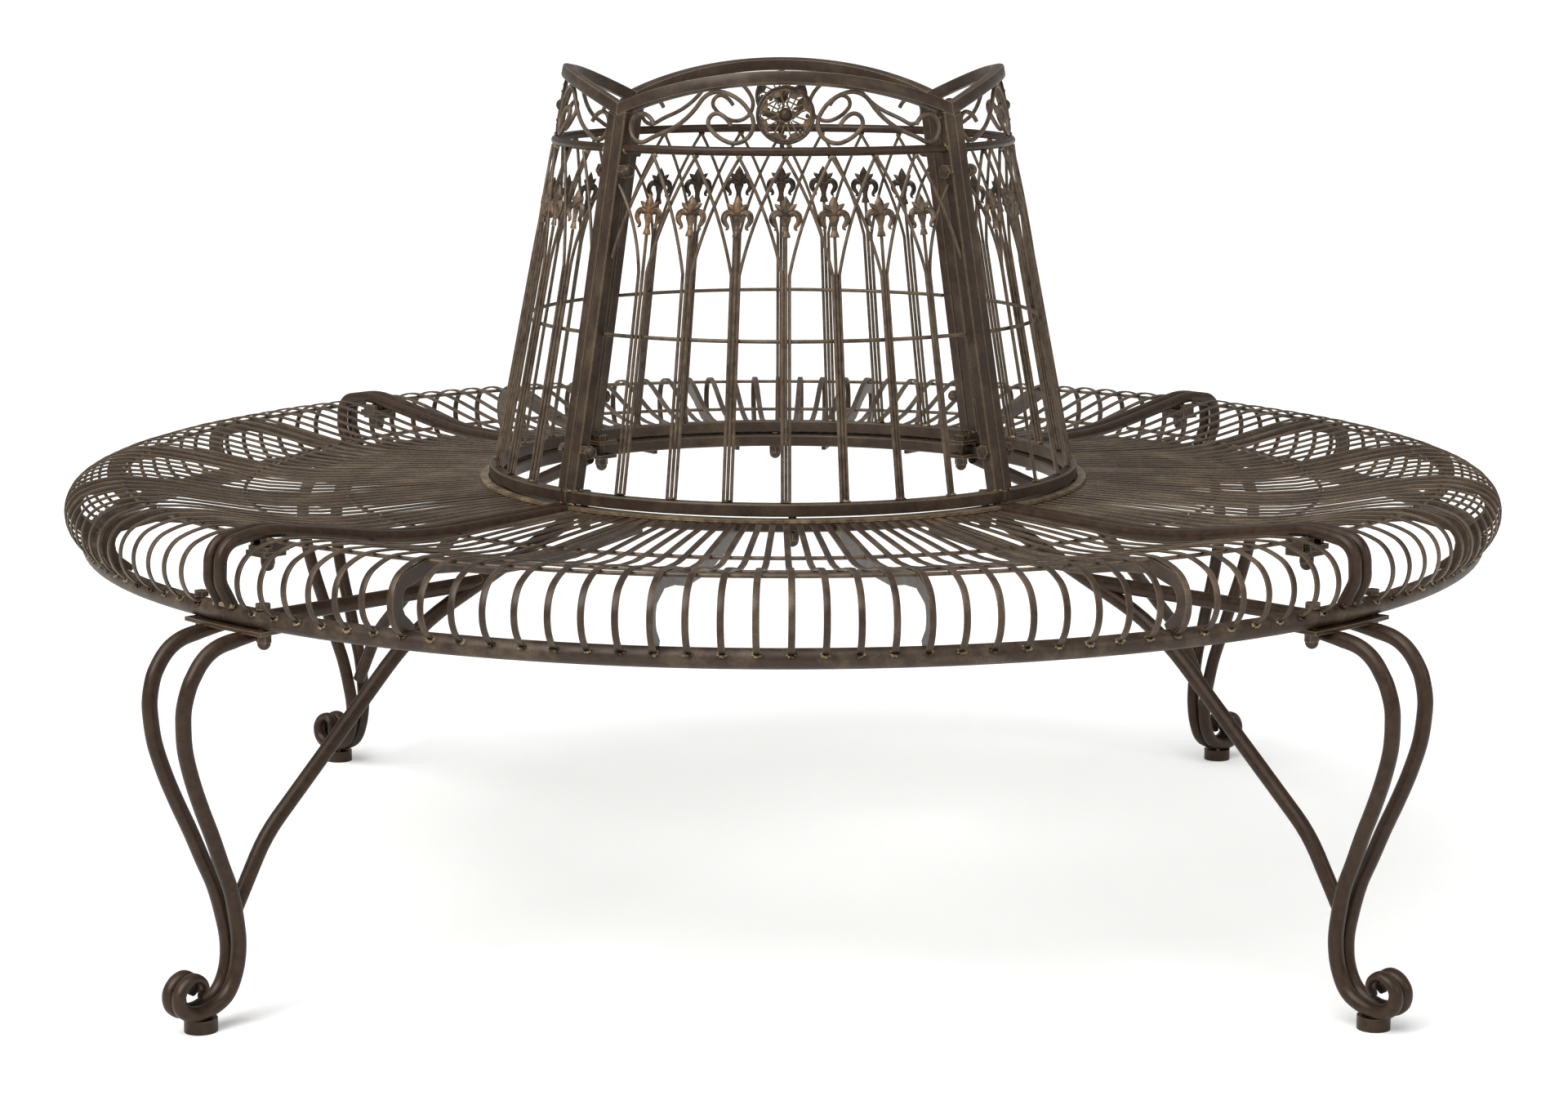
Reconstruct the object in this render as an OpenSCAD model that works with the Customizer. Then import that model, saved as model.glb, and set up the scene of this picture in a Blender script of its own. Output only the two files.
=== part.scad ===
// Round tree bench of wrought iron: four bolted quarters, each with a seat, a back and two legs.
// Origin on the ground at the tree's axis, +Z up, the front quarter faces -Y.

/* [Seat] */
// Radius of the highest line of the seat
crest_r = 705; // [690:1:720]
// Height of the middle of a slat at that line
crest_z = 467; // [460:1:475]
// Radius of the lowest line of the seat
dip_r = 480; // [440:1:520]
// Height of the middle of a slat at its lowest line
dip_z = 441; // [436:1:446]
// Height of the middle of a slat at its inner end
slat_inner_z = 447; // [444:0.5:448]
// Radius that the rolled front edge reaches
roll_r = 763.5; // [759:0.5:768]
// Height where the rolled edge is widest
roll_z = 433; // [428:1:438]
// Number of slats in a quarter, an odd number
slat_count = 37; // [21:2:39]
// Width of a slat
slat_w = 6.4; // [4:0.1:9]
// Thickness of a slat
slat_t = 2.6; // [2:0.1:3.4]
// Depth of the flat ribs that carry the slats
rib_depth = 14.5; // [12:0.5:16]
// Thickness of the flat ribs
rib_t = 4.6; // [3:0.1:6]
// Diameter of the wire hoops under the slats
hoop_d = 4; // [3:0.1:5]
// Diameter of the round ribs at the ends of a quarter
end_rib_d = 12.5; // [11:0.1:13.5]
// Width of the flat collar on the slats' inner ends
collar_w = 8.5; // [6:0.5:12]
// Thickness of the collar
collar_t = 3; // [2:0.1:4]

/* [Rings] */
// Radius of the outer ring, to the middle of its tube
outer_ring_r = 738; // [734:0.5:742]
// Height of the outer ring
outer_ring_z = 396; // [392:0.5:400]
// Diameter of the outer ring's tube
outer_ring_d = 19; // [17:0.5:21]
// Radius of the inner ring, to the middle of its bar
inner_ring_r = 306; // [303:0.5:308]
// Height of the inner ring
inner_ring_z = 443; // [441:0.5:444]
// Width of the square bar of the rings, rails and posts
bar = 13; // [12:0.1:14]
// Radius on the corners of the square bar
bar_edge = 2; // [1:0.1:3]

/* [Back] */
// Lean of the back towards the tree
lean = 11; // [8:0.5:13]
// Radius of the back's bottom rail
base_rail_r = 310.8; // [309:0.2:313]
// Height of the back's bottom rail
base_rail_z = 459.3; // [458.8:0.1:462]
// Height of the wire behind the spindles
waist_z = 623; // [560:1:680]
// Diameter of that wire
waist_d = 4; // [3:0.1:5]
// Height of the round rail under the scrolls
top_rail_z = 810; // [802:1:815]
// Diameter of that rail
top_rail_d = 9; // [7:0.1:10]
// Height of the crest rail in the middle of a quarter
crest_mid_z = 882.7; // [876:0.1:892]
// Drop of the crest rail from its middle to its ends
crest_drop = 34.5; // [28:0.5:38]
// Diameter of the spindles' rods
rod_d = 3.4; // [2.8:0.1:4]
// Angle between two spindles
spindle_pitch = 10.9; // [10.7:0.05:10.95]
// Height where the outer rods leave a spindle
split_z = 688; // [670:1:700]
// Height where the rods of two spindles cross
cross_z = 757; // [750:1:762]

/* [Ornaments] */
// Height of the foot of a finial
finial_z = 725.5; // [722:0.5:730]
// Height of a finial
finial_h = 42; // [36:0.5:46]
// Thickness of a finial
finial_t = 5; // [4:0.1:6.5]
// Radius of the round rosette
rosette_r = 29.8; // [26:0.1:30.5]
// Diameter of the rosette's rim wire
rim_d = 3.2; // [2.6:0.1:4]
// Diameter of the rosette's boss
boss_d = 11.5; // [9:0.1:13]
// Diameter of the scrolls' wire
scroll_d = 4.6; // [3.6:0.1:5]

/* [Legs] */
// Diameter of the legs' tube
leg_d = 15; // [13:0.5:16]
// Radius of the circle through the feet
foot_r = 785.6; // [780:0.2:790]
// Diameter of a foot pad
pad_d = 32; // [28:1:36]
// Height of a foot pad
pad_h = 13; // [10:0.5:16]
// Height where the two legs of a corner meet
splay_z = 215; // [200:1:225]
// Sideways run of a leg for each millimetre above that height
splay = 0.1016; // [0.08:0.001:0.12]
// Thickness of the plate between legs and ring
plate_t = 4; // [3:0.5:5]
// Width of that plate across the ring
plate_w = 26; // [22:1:30]
// Angle that the plate covers
plate_angle = 9; // [8.6:0.1:10]
// Height of the strut between ring and brace
strut_z = 386; // [384:0.5:388]

/* [Fasteners] */
// Diameter of the bolts
bolt_d = 8; // [6:0.5:8.5]
// Width of heads and nuts across their flats
nut_af = 13; // [12:0.5:14]
// Height of a cap nut
nut_h = 15; // [13:0.5:16]
// Height of a bolt's head
head_h = 5.3; // [4:0.1:6]
// Angle from a corner to a bolt in the outer ring
ring_bolt_angle = 3.7; // [3.6:0.05:3.9]
// Height of the lower bolt through the posts
post_bolt_low = 505; // [490:1:520]
// Height of the upper bolt through the posts
post_bolt_high = 787; // [782:1:788]

/* [Fit] */
// Gap between pieces that touch on the real bench
gap = 0.3; // [0.2:0.05:0.4]

/* [Hidden] */
QUARTERS = ["front", "right", "back", "left"];
BRONZE = [0.23, 0.19, 0.16];
WORN = [0.36, 0.32, 0.28];
COPPER = [0.52, 0.37, 0.24];
STEEL = [0.42, 0.36, 0.30];

// Vector and arc helpers
function unit(v) = v/norm(v);
// Direction at the end of an arc that leaves along t and spans the chord c
function turned(t, c) = 2*(t*unit(c))*unit(c) - t;
function headings(p, t, i = 0) =
    i >= len(p) - 1 ? [t] : concat([t], headings(p, unit(turned(t, p[i + 1] - p[i])), i + 1));
// Points every few degrees along the arc from a to b that leaves along t
function arc_points(a, b, t, step) =
    let (c = b - a, side = c - (c*t)*t)
    norm(side) < 0.001 ? [b] :
    let (n = unit(side), half = acos((c*t)/norm(c)), r = norm(c)/2/sin(half), k = ceil(2*half/step))
    [for (i = [1:k]) a + r*(1 - cos(2*half*i/k))*n + r*sin(2*half*i/k)*t];
function path_points(p, t, step) =
    let (h = headings(p, unit(t)))
    concat([p[0]], [for (i = [0:len(p) - 2]) each arc_points(p[i], p[i + 1], h[i], step)]);
// Corner points turned into the ends of tangent bends, for tube and path_points
function bent(p, r) = concat([p[0]], [
    for (i = [1:len(p) - 2])
        let (a = unit(p[i] - p[i - 1]), b = unit(p[i + 1] - p[i]), s = r[i - 1]*tan(acos(a*b)/2))
        each [p[i] - s*a, p[i] + s*b]
], [p[len(p) - 1]]);
function left_of(p, i) =
    let (d = unit(p[min(i + 1, len(p) - 1)] - p[max(i - 1, 0)]))
    [-d[1], d[0]];
// Closed outline between two offsets from a line
function band(p, lo, hi) = concat(
    [for (i = [0:len(p) - 1]) p[i] + lo*left_of(p, i)],
    [for (i = [len(p) - 1:-1:0]) p[i] + hi*left_of(p, i)]
);
function rounded_outline(w, r, step = 30) = [
    for (k = [0:3], a = [0:step:90])
        let (q = 90*k, c = (w/2 - r)*sqrt(2))
        [c*cos(q + 45) + r*cos(q + a), c*sin(q + 45) + r*sin(q + a)]
];

// Direction at a of the circle through a, m and b
function through(a, m, b) = unit((m - a)/pow(norm(m - a), 2) - (b - a)/pow(norm(b - a), 2));

module frame_at(o, x, y) {
    z = cross(x, y);
    multmatrix([[x[0], y[0], z[0], o[0]], [x[1], y[1], z[1], o[1]], [x[2], y[2], z[2], o[2]], [0, 0, 0, 1]])
        children();
}
// Turns the upright axis of a shape at o to face along t
module facing(o, t) {
    u = abs(t[2]) < 0.9 ? unit(cross(t, [0, 0, 1])) : unit(cross(t, [1, 0, 0]));
    frame_at(o, u, cross(t, u)) children();
}
// Round bar along the arc from a to b that leaves along t, shortened by s at its start and e at its end
module bend(a, b, t, d, s = 0, e = 0) {
    c = b - a;
    side = c - (c*t)*t;
    if (norm(side) < 0.001) {
        facing(a + s*t, t) cylinder(h = norm(c) - s - e, d = d, $fn = 24);
    } else {
        n = unit(side);
        half = acos((c*t)/norm(c));
        r = norm(c)/2/sin(half);
        frame_at(a + r*n, -n, t) rotate([0, 0, s/r*180/PI])
            rotate_extrude(angle = 2*half - (s + e)/r*180/PI, $fn = 64)
                translate([r, 0]) circle(d = d, $fn = 24);
    }
}
// A ball barely thicker than the bar joins two bends, which stop just short of each other inside it.
// Its poles lie a little off the bar's line.
ball_tilt = 6;
function ball_d(d) = d + max(0.08, 0.012*d);
function trim(d) = 0.3*sqrt(pow(ball_d(d), 2) - d*d);
module ball(p, t, d) facing(p, t) rotate([ball_tilt, 0, 0]) sphere(d = ball_d(d), $fn = 24);
// Round bar through the points p, as a chain of tangent arcs that leaves along t
module tube(p, t, d) {
    h = headings(p, unit(t));
    last = len(p) - 2;
    for (i = [0:last]) bend(p[i], p[i + 1], h[i], d, i > 0 ? trim(d) : 0, i < last ? trim(d) : 0);
    for (i = [1:last]) ball(p[i], h[i], d);
}

// Places round the tree: azimuth 0 is the front, and grows towards the right
function radial(az, r, z) = [r*sin(az), -r*cos(az), z];
function along(az, r, off, z) = radial(az, r, z) + off*[cos(az), sin(az), 0];
// A point of a radial plane, with x outwards, as a point in space
function in_plane(p, off = 0) = [p[0], off, p[1]];
// Radial plane at an azimuth, with x outwards and y towards growing azimuth
module at_az(az) rotate([0, 0, az - 90]) children();
module quarter(k) rotate([0, 0, 90*k]) children();
module four() for (k = [0:3]) quarter(k) children();
// Section swept round the axis from azimuth a to azimuth b
module ring_arc(r, z, a, b)
    translate([0, 0, z]) rotate([0, 0, a - 90])
        rotate_extrude(angle = b - a, $fn = 180) translate([r, 0]) children();
module round_section(d) circle(d = d, $fn = 32);
module bar_section() polygon(rounded_outline(bar, bar_edge));
// Azimuth at which a piece of radius r stops short of the corner by off
function short_of(r, off) = 45 - asin(off/r);

// Seat profile
outer_ring_top = outer_ring_z + outer_ring_d/2;
inner_face_r = inner_ring_r + bar/2;
roll_landing = 37;
ring_centre = [outer_ring_r, outer_ring_z];
landing = ring_centre + (outer_ring_d/2 + gap + 0.1*slat_t)*[cos(roll_landing), sin(roll_landing)];
rise = [crest_r - dip_r, crest_z - dip_z];
slat_knots = [
    [inner_face_r + gap, slat_inner_z],
    [dip_r, dip_z],
    [dip_r + 0.49*rise[0], dip_z + 0.29*rise[1]],
    [dip_r + 0.756*rise[0], dip_z + 0.75*rise[1]],
    [crest_r, crest_z],
    [crest_r + 0.684*(roll_r - crest_r), crest_z - 0.22*(crest_z - roll_z)],
    [roll_r, roll_z],
    landing
];
slat_line = path_points(slat_knots, [1, -0.02], 26);
rising = [for (p = slat_line) if (p[0] <= crest_r + 0.01) p];
function slat_z(r) = lookup(r, rising);
function slat_slope(r) = atan((slat_z(r + 2) - slat_z(r - 2))/4);
// End ribs: corner points of the bent tube, the last one on the ring
end_rib_off = end_rib_d/2 + 6*gap;
slat_pitch = 2*short_of(inner_face_r, end_rib_off + (end_rib_d + slat_w)/2 + gap)/(slat_count - 1);
rib_dip = [522/480*dip_r, dip_z + 0.5];
rib_crest = [crest_r - 3, crest_z + 4.5];
rib_roll = [roll_r - 10, crest_z - 3.7];
rib_drop = [roll_r - 8, roll_z - 5];
end_rib_path = bent([
    [inner_face_r + gap, base_rail_z - bar/2 - gap - end_rib_d/2],
    rib_dip,
    rib_crest,
    rib_roll,
    rib_drop,
    ring_centre + (outer_ring_d/2 + gap)*unit(rib_drop - ring_centre)
], [600, 120, 22, 20]);
function end_rib_z(r) = rib_dip[1] + (rib_crest[1] - rib_dip[1])*(r - rib_dip[0])/(rib_crest[0] - rib_dip[0]);
end_rib_table = [for (p = path_points(end_rib_path, end_rib_path[1] - end_rib_path[0], 5))
    if (p[0] <= crest_r) p];
// Hoops under the slats
hoop_radii = [crest_r - 1.5, (crest_r + dip_r)/2 - 15.5, dip_r - 12];
function hoop_z(r) = slat_z(r) - slat_t/2/cos(slat_slope(r)) - gap - hoop_d/2;
function hoop_end(r) =
    let (d = lookup(r, end_rib_table) - hoop_z(r) - hoop_d/2, reach = end_rib_d/2 + gap)
    end_rib_off + sqrt(max(0, reach*reach - d*d));
support_slats = [-12, -4, 4, 12];
collar_r = inner_face_r + 6;
collar_z = slat_z(collar_r) + slat_t/2 + gap;

// Back
base_rail_top = base_rail_z + bar/2;
post_off = bar/2 + gap;
post_side = post_off + bar/2 + gap;
function back_r(z) = base_rail_r - (z - base_rail_z)*tan(lean);
function on_back(az, z, out = 0) = radial(az, back_r(z) + out, z);
function crest_rail_z(az) = crest_mid_z - crest_drop*pow(az/45, 2);
function crest_point(az) = on_back(az, crest_rail_z(az));
function crest_heading(az) = unit(crest_point(az + 0.01) - crest_point(az - 0.01));
function out_of_back(az) = [cos(lean)*sin(az), -cos(lean)*cos(az), sin(lean)];
foot_z = base_rail_top + gap + rod_d/2*sin(lean);
rod_side = rod_d + gap;
weave = (rod_d + gap)/2;
node_z = top_rail_z - top_rail_d/2 - gap - 0.35*rod_d;
// Rods that lean to a post bow out lower, clear of the last finial, and end below the post's upper bolt
post_cross_z = cross_z - 7;
post_aim_z = post_bolt_high - nut_af/2 - 0.5;
// Length left off the rods that start at a post, so that they have no thin tip
post_rod_start = 12;

// Scrolls: each knot is a share of the way from the rosette to the post, and from rail to rail
scroll_low = top_rail_z + (top_rail_d + scroll_d)/2 + 0.2;
scroll_in = asin((rosette_r + scroll_d/2 + gap)/back_r(scroll_low));
scroll_out = short_of(back_r(scroll_low + 20), post_side + scroll_d/2 + gap);
scroll_knots = [
    [0.785, 0.49], [0.9, 0.88], [1, 0.6], [0.833, 0.043], [0.7, 0.24], [0.41, 0.85],
    [0.23, 0.97], [0.015, 0.5], [0.18, 0.035], [0.329, 0.33], [0.251, 0.565], [0.167, 0.35]
];
function scroll_point(k) =
    let (az = scroll_in + k[0]*(scroll_out - scroll_in))
    let (high = crest_rail_z(az) - (bar/2 + scroll_d/2 + gap))
    on_back(-az, scroll_low + k[1]*(high - scroll_low));

// Rosette
rosette_z = (top_rail_z + top_rail_d/2 + crest_mid_z - bar/2/cos(lean))/2 + 0.7;
petals = 8;
petal_d = 9.6;
petal_neck = 1.8;
petal_in = boss_d/2 + 1.6;
petal_out = rosette_r - rim_d - petal_d/2 - 0.6;
web_t = 2.4;

// Legs and braces
leg_off = leg_d/2 + gap;
plate_top = outer_ring_z - outer_ring_d/2 - gap;
leg_top = plate_top - plate_t - gap - leg_d/2;
leg_low = pad_h + gap + leg_d/2;
// Leg profile from the top inwards end to the tip of the curled foot
leg_profile = [
    [outer_ring_r - 18, leg_top],
    [outer_ring_r + 14, leg_top],
    [foot_r + 9.4, leg_top - 20.4],
    [foot_r + 28.4, leg_top - 59.4],
    [foot_r + 13.4, splay_z + 34],
    [foot_r - 15.1, splay_z - 34],
    [foot_r - 35.6, leg_low + 72],
    [foot_r - 29.6, leg_low + 26],
    [foot_r + 7.4, leg_low],
    [foot_r + 29.4, leg_low + 7.2],
    [foot_r + 37.4, leg_low + 21.2],
    [foot_r + 21.4, leg_low + 35.7],
    [foot_r + 7.4, leg_low + 26.7]
];
function leg_side(z) = leg_off + (z > splay_z ? splay*(z - splay_z) : 0);
brace_foot = [foot_r - 43.6, 111];
brace_knee = [foot_r - 80.6, 175.5];
brace_elbow = [517, 351];
ring_corner = [inner_face_r, inner_ring_z - bar/2];
brace_aim = ring_corner - [0, 2.2];
brace_run = unit(brace_aim - brace_elbow);
brace_head = brace_aim + ((ring_corner - brace_aim)*brace_run - gap)*brace_run;
brace_path = bent([brace_foot, brace_knee, brace_elbow, brace_head], [150, 280]);
strut_start = brace_elbow + brace_run*(strut_z - brace_elbow[1])/brace_run[1];
plate_inner = outer_ring_r - plate_w/2;

// Lugs and fasteners
crest_lug_r = crest_r - 11;
crest_lug_l = 26;
crest_lug_t = 5;
crest_lug_rib_z = end_rib_z(crest_lug_r - crest_lug_l/2) - end_rib_d/2;
crest_lug_top = crest_lug_rib_z - head_h - 3*gap;
crest_lug_reach = 12;
crest_web_t = 4.4;
crest_web_in = 2;
crest_web_rise = 0.9;
corner_lug_t = 4;
corner_lug_w = 26;
corner_lug_r = inner_ring_r - 27;
corner_bolt_r = corner_lug_r + 12;
seat_lug_z = inner_ring_z - bar/2 + 0.5;
back_lug_z = base_rail_z - bar/2 + 0.5;
stud_r = inner_ring_r + 1;
stud_az = 1.2;
thread_gap = 0.1;
nut_bore_depth = 0.7*nut_h;

// Flat strip bent to the seat's profile, standing in a radial plane
module profile_strip(az, w, outline)
    at_az(az) rotate([90, 0, 0]) linear_extrude(height = w, center = true) polygon(outline);
module seat_slats(k) color(BRONZE) quarter(k) {
    side = (slat_count - 1)/2;
    outline = band(slat_line, -slat_t/2, slat_t/2);
    for (i = [-side:side]) profile_strip(i*slat_pitch, slat_w, outline);
}

// Flat rib on edge under a slat, notched for the hoops, with its foot cut to the ring
module support_rib(az) difference() {
    top = -slat_t/2 - gap;
    last = len(slat_line) - 1;
    ahead = slat_line[last] + 10*unit(slat_line[last] - slat_line[last - 1]);
    profile_strip(az, rib_t, band(concat(slat_line, [ahead]), top - rib_depth, top));
    at_az(az) translate(in_plane(ring_centre)) rotate([90, 0, 0])
        cylinder(h = 3*rib_t, d = outer_ring_d + 2*gap, center = true, $fn = 32);
    at_az(az) for (r = hoop_radii) translate([r, 0, hoop_z(r)]) {
        rotate([90, 0, 0]) cylinder(h = 3*rib_t, d = hoop_d + 2*gap, center = true, $fn = 24);
        translate([-hoop_d/2 - gap, -1.5*rib_t, 0]) cube([hoop_d + 2*gap, 3*rib_t, hoop_d + 2]);
    }
}
module support_ribs() color(BRONZE) four() for (i = support_slats) support_rib(i*slat_pitch);
module seat_hoops() color(WORN) four() for (r = hoop_radii) {
    end = short_of(r, hoop_end(r));
    ring_arc(r, hoop_z(r), -end, end) round_section(hoop_d);
}
module collar_strips() color(WORN) four() {
    end = short_of(collar_r, end_rib_off + end_rib_d/2 + gap);
    ring_arc(collar_r, collar_z, -end, end) square([collar_w, collar_t]);
}
module seat_end_ribs(k) color(BRONZE) quarter(k) for (s = [-1, 1])
    at_az(45*s) tube([for (p = end_rib_path) in_plane(p, -s*end_rib_off)],
        in_plane(end_rib_path[1] - end_rib_path[0]), end_rib_d);

// Rings
module seat_outer_ring(k) color(BRONZE) quarter(k) difference() {
    end = short_of(outer_ring_r, gap/2);
    ring_arc(outer_ring_r, outer_ring_z, -end, end) round_section(outer_ring_d);
    for (s = [-1, 1]) at_az(s*(45 - ring_bolt_angle)) bolt_hole(outer_ring_r, outer_ring_z, outer_ring_d);
}
module seat_inner_ring(k) color(BRONZE) quarter(k) difference() {
    end = short_of(inner_ring_r, gap/2);
    ring_arc(inner_ring_r, inner_ring_z, -end, end) bar_section();
    at_az(stud_az) bolt_hole(stud_r, inner_ring_z, bar);
}
// Upright bore through a piece of height h whose middle is at radius r and height z
module bolt_hole(r, z, h)
    translate([r, 0, z]) cylinder(h = h + 4, d = bolt_d + 2*gap, center = true, $fn = 24);

// Back panel
module back_base_rail(k) color(BRONZE) quarter(k) {
    end = short_of(base_rail_r, gap/2);
    ring_arc(base_rail_r, base_rail_z, -end, end) bar_section();
}
// Square post beside a corner: level foot on the base rail, sloping head under the crest rail
module back_post(s) {
    az = s*short_of(back_r(crest_rail_z(45)), post_off);
    difference() {
        at_az(45*s) translate([base_rail_r, -s*post_off, base_rail_z]) rotate([0, -lean, 0])
            linear_extrude(height = (crest_mid_z - base_rail_z)/cos(lean)) bar_section();
        at_az(45*s) translate([base_rail_r, 0, base_rail_top + gap - bar])
            translate([-2*bar, -2*bar, -bar]) cube([4*bar, 4*bar, 2*bar]);
        frame_at(crest_point(az), out_of_back(az), crest_heading(az))
            translate([-bar, -2*bar, -bar/2 - gap]) cube([2*bar, 4*bar, 5*bar]);
        at_az(45*s) for (z = [post_bolt_low, post_bolt_high]) translate([back_r(z), 0, z])
            rotate([90, 0, 0]) cylinder(h = 6*bar, d = bolt_d + 2*gap, center = true, $fn = 24);
    }
}
module back_posts(k) color(BRONZE) quarter(k) for (s = [-1, 1]) back_post(s);
// Crest rail: square bar swept along its rise and fall on the leaning back, mitred at the corners
module back_crest_rail(k) color(BRONZE) quarter(k) {
    steps = 16;
    outline = rounded_outline(bar, bar_edge, 90);
    count = len(outline);
    rings = [for (i = [0:steps]) let (az = -45 + 90*i/steps, c = crest_point(az), t = crest_heading(az),
        n = out_of_back(az), u = cross(n, t), m = [cos(az), sin(az), 0])
        [for (q = outline) let (p = c + q[0]*n + q[1]*u)
            i == 0 ? p + t*((gap/2 - p*m)/(t*m)) : i == steps ? p + t*((-gap/2 - p*m)/(t*m)) : p]];
    sides = [for (i = [0:steps - 1], j = [0:count - 1])
        let (a = i*count + j, b = i*count + (j + 1)%count)
        each [[a, b, b + count], [a, b + count, a + count]]];
    start = [for (j = [count - 1:-1:0]) j];
    finish = [for (j = [0:count - 1]) steps*count + j];
    polyhedron(points = [for (r = rings) each r], faces = concat(sides, [start, finish]));
}
module top_rails() color(BRONZE) four() {
    r = back_r(top_rail_z);
    ring_arc(r, top_rail_z, -short_of(r, post_side), short_of(r, post_side)) round_section(top_rail_d);
}
module waist_wires() color(WORN) four() {
    r = back_r(waist_z) - weave - (rod_d/2 + gap)/cos(lean) - waist_d/2;
    ring_arc(r, waist_z, -short_of(r, post_side), short_of(r, post_side)) round_section(waist_d);
}
// Middle rod of each spindle, up to the finial
module back_spindles(k) color(WORN) quarter(k) for (i = [-3:3]) {
    az = i*spindle_pitch;
    foot = on_back(az, foot_z);
    head = on_back(az, finial_z - gap);
    tube([foot, head], head - foot, rod_d);
}
// Outer rod of a spindle: it leaves on side s, crosses its neighbour and ends under the top rail.
// Rods that lean one way lie a little outside those that lean the other way.
module bowed_rod(i, s) {
    az = i*spindle_pitch;
    out = -s*weave;
    foot = along(az, back_r(foot_z) + out, s*rod_side, foot_z);
    split = along(az, back_r(split_z) + out, s*rod_side, split_z);
    to_post = abs(i + s) > 3;
    middle = on_back(az + s*spindle_pitch/2, to_post ? post_cross_z : cross_z, out);
    end = on_back(az + s*spindle_pitch, to_post ? post_aim_z : node_z, out);
    up = unit(split - foot);
    if (abs(i) < 4) {
        bend(foot, split, up, rod_d, 0, trim(rod_d));
        ball(split, up, rod_d);
    }
    bend(split, end, through(split, middle, end), rod_d, abs(i) < 4 ? trim(rod_d) : post_rod_start);
}
// Space of a post, for the rods that end at its side
module post_space(s)
    at_az(45*s) translate([base_rail_r, -s*post_off, base_rail_z]) rotate([0, -lean, 0])
        translate([-bar, -bar/2 - gap, 0]) cube([2*bar, bar + 2*gap, crest_mid_z - base_rail_z]);
module back_lattice(k) color(WORN) quarter(k) {
    for (i = [-3:3], s = [-1, 1]) if (abs(i + s) < 4) bowed_rod(i, s);
    for (s = [-1, 1]) {
        difference() { bowed_rod(3*s, s); post_space(s); }
        difference() { bowed_rod(4*s, -s); post_space(s); }
    }
}

// Cast finial in the shape of a lily: its right half, drawn to a height of finial_drawn_h
finial_drawn_h = 42;
half_finial = [
    [0, 0], [4.6, 0.4], [2.5, 8], [2.9, 14], [5.4, 20.2], [10, 22],
    [12.3, 18.6], [12, 13.6], [9.6, 11.5], [11.2, 7.9], [14, 10.2], [16.4, 17.4], [15.6, 23.8],
    [12.4, 26.8], [7.2, 26.4], [10.7, 30], [10.4, 33.4], [4, 31], [4.5, 34.6], [0, finial_drawn_h]
];
module finial() {
    last = len(half_finial) - 1;
    other_half = [for (i = [last - 1:-1:1]) [-half_finial[i][0], half_finial[i][1]]];
    scale_up = finial_h/finial_drawn_h;
    petal = [[0, 26], [2, 30.5], [2.3, 34], [0, 40], [-2.3, 34], [-2, 30.5]];
    rotate([90, 0, 90]) {
        linear_extrude(height = finial_t, center = true) polygon(scale_up*concat(half_finial, other_half));
        linear_extrude(height = finial_t + 1.6, center = true) polygon(scale_up*petal);
    }
}
module finials() color(COPPER) four() for (i = [-3:3])
    at_az(i*spindle_pitch) translate([back_r(finial_z), 0, finial_z]) rotate([0, -lean, 0]) finial();

module scrolls() color(WORN) four() for (s = [0, 1]) mirror([s, 0, 0]) {
    start = scroll_point(scroll_knots[0]);
    ahead = scroll_point([scroll_knots[0][0] + 0.045, scroll_knots[0][1] + 0.35]);
    tube([for (k = scroll_knots) scroll_point(k)], ahead - start, scroll_d);
}

// Pierced rosette: rim wire, web with pear-shaped openings, a bead in each, and a domed boss
module pear_opening(h) {
    translate([petal_out, 0, 0]) cylinder(h = h, d = petal_d, center = true, $fn = 24);
    linear_extrude(height = h, center = true)
        polygon([
            [petal_in, -petal_neck/2], [petal_out, -petal_d/2],
            [petal_out, petal_d/2], [petal_in, petal_neck/2]
        ]);
}
module rosette() rotate([0, 90, 0]) {
    rotate_extrude($fn = 96) translate([rosette_r - rim_d/2, 0]) round_section(rim_d);
    difference() {
        cylinder(h = web_t, r = rosette_r - rim_d/2, center = true, $fn = 96);
        for (i = [0:petals - 1]) rotate([0, 0, 180 + 360/petals*i]) pear_opening(2*web_t);
    }
    for (i = [0:petals - 1]) rotate([0, 0, 180 + 360/petals*i]) {
        translate([petal_out + 2.2, 0, 0]) cylinder(h = 3.6, d = 3.8, center = true, $fn = 24);
        translate([petal_out + 2.2, -0.6, -web_t/2])
            cube([rosette_r - petal_out - rim_d/2 - 2.2, 1.2, web_t]);
    }
    translate([0, 0, -web_t]) cylinder(h = 2*web_t, d = boss_d, $fn = 48);
    translate([0, 0, web_t]) intersection() {
        translate([0, 0, -boss_d/4]) sphere(d = 1.25*boss_d, $fn = 48);
        cylinder(h = boss_d, d = boss_d, $fn = 48);
    }
    tab_up = (crest_mid_z - rosette_z)/cos(lean) - bar/2 - gap;
    tab_down = (rosette_z - top_rail_z)/cos(lean) - top_rail_d/2 - gap;
    translate([-tab_up, 0, 0]) rotate([0, 90, 0])
        cylinder(h = tab_up - rosette_r + rim_d/2, d = 3.4, $fn = 24);
    translate([rosette_r - rim_d/2, 0, 0]) rotate([0, 90, 0])
        cylinder(h = tab_down - rosette_r + rim_d/2, d = 4.4, $fn = 24);
}
module rosettes() color(COPPER) four()
    at_az(0) translate([back_r(rosette_z), 0, rosette_z]) rotate([0, -lean, 0]) rosette();

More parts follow.
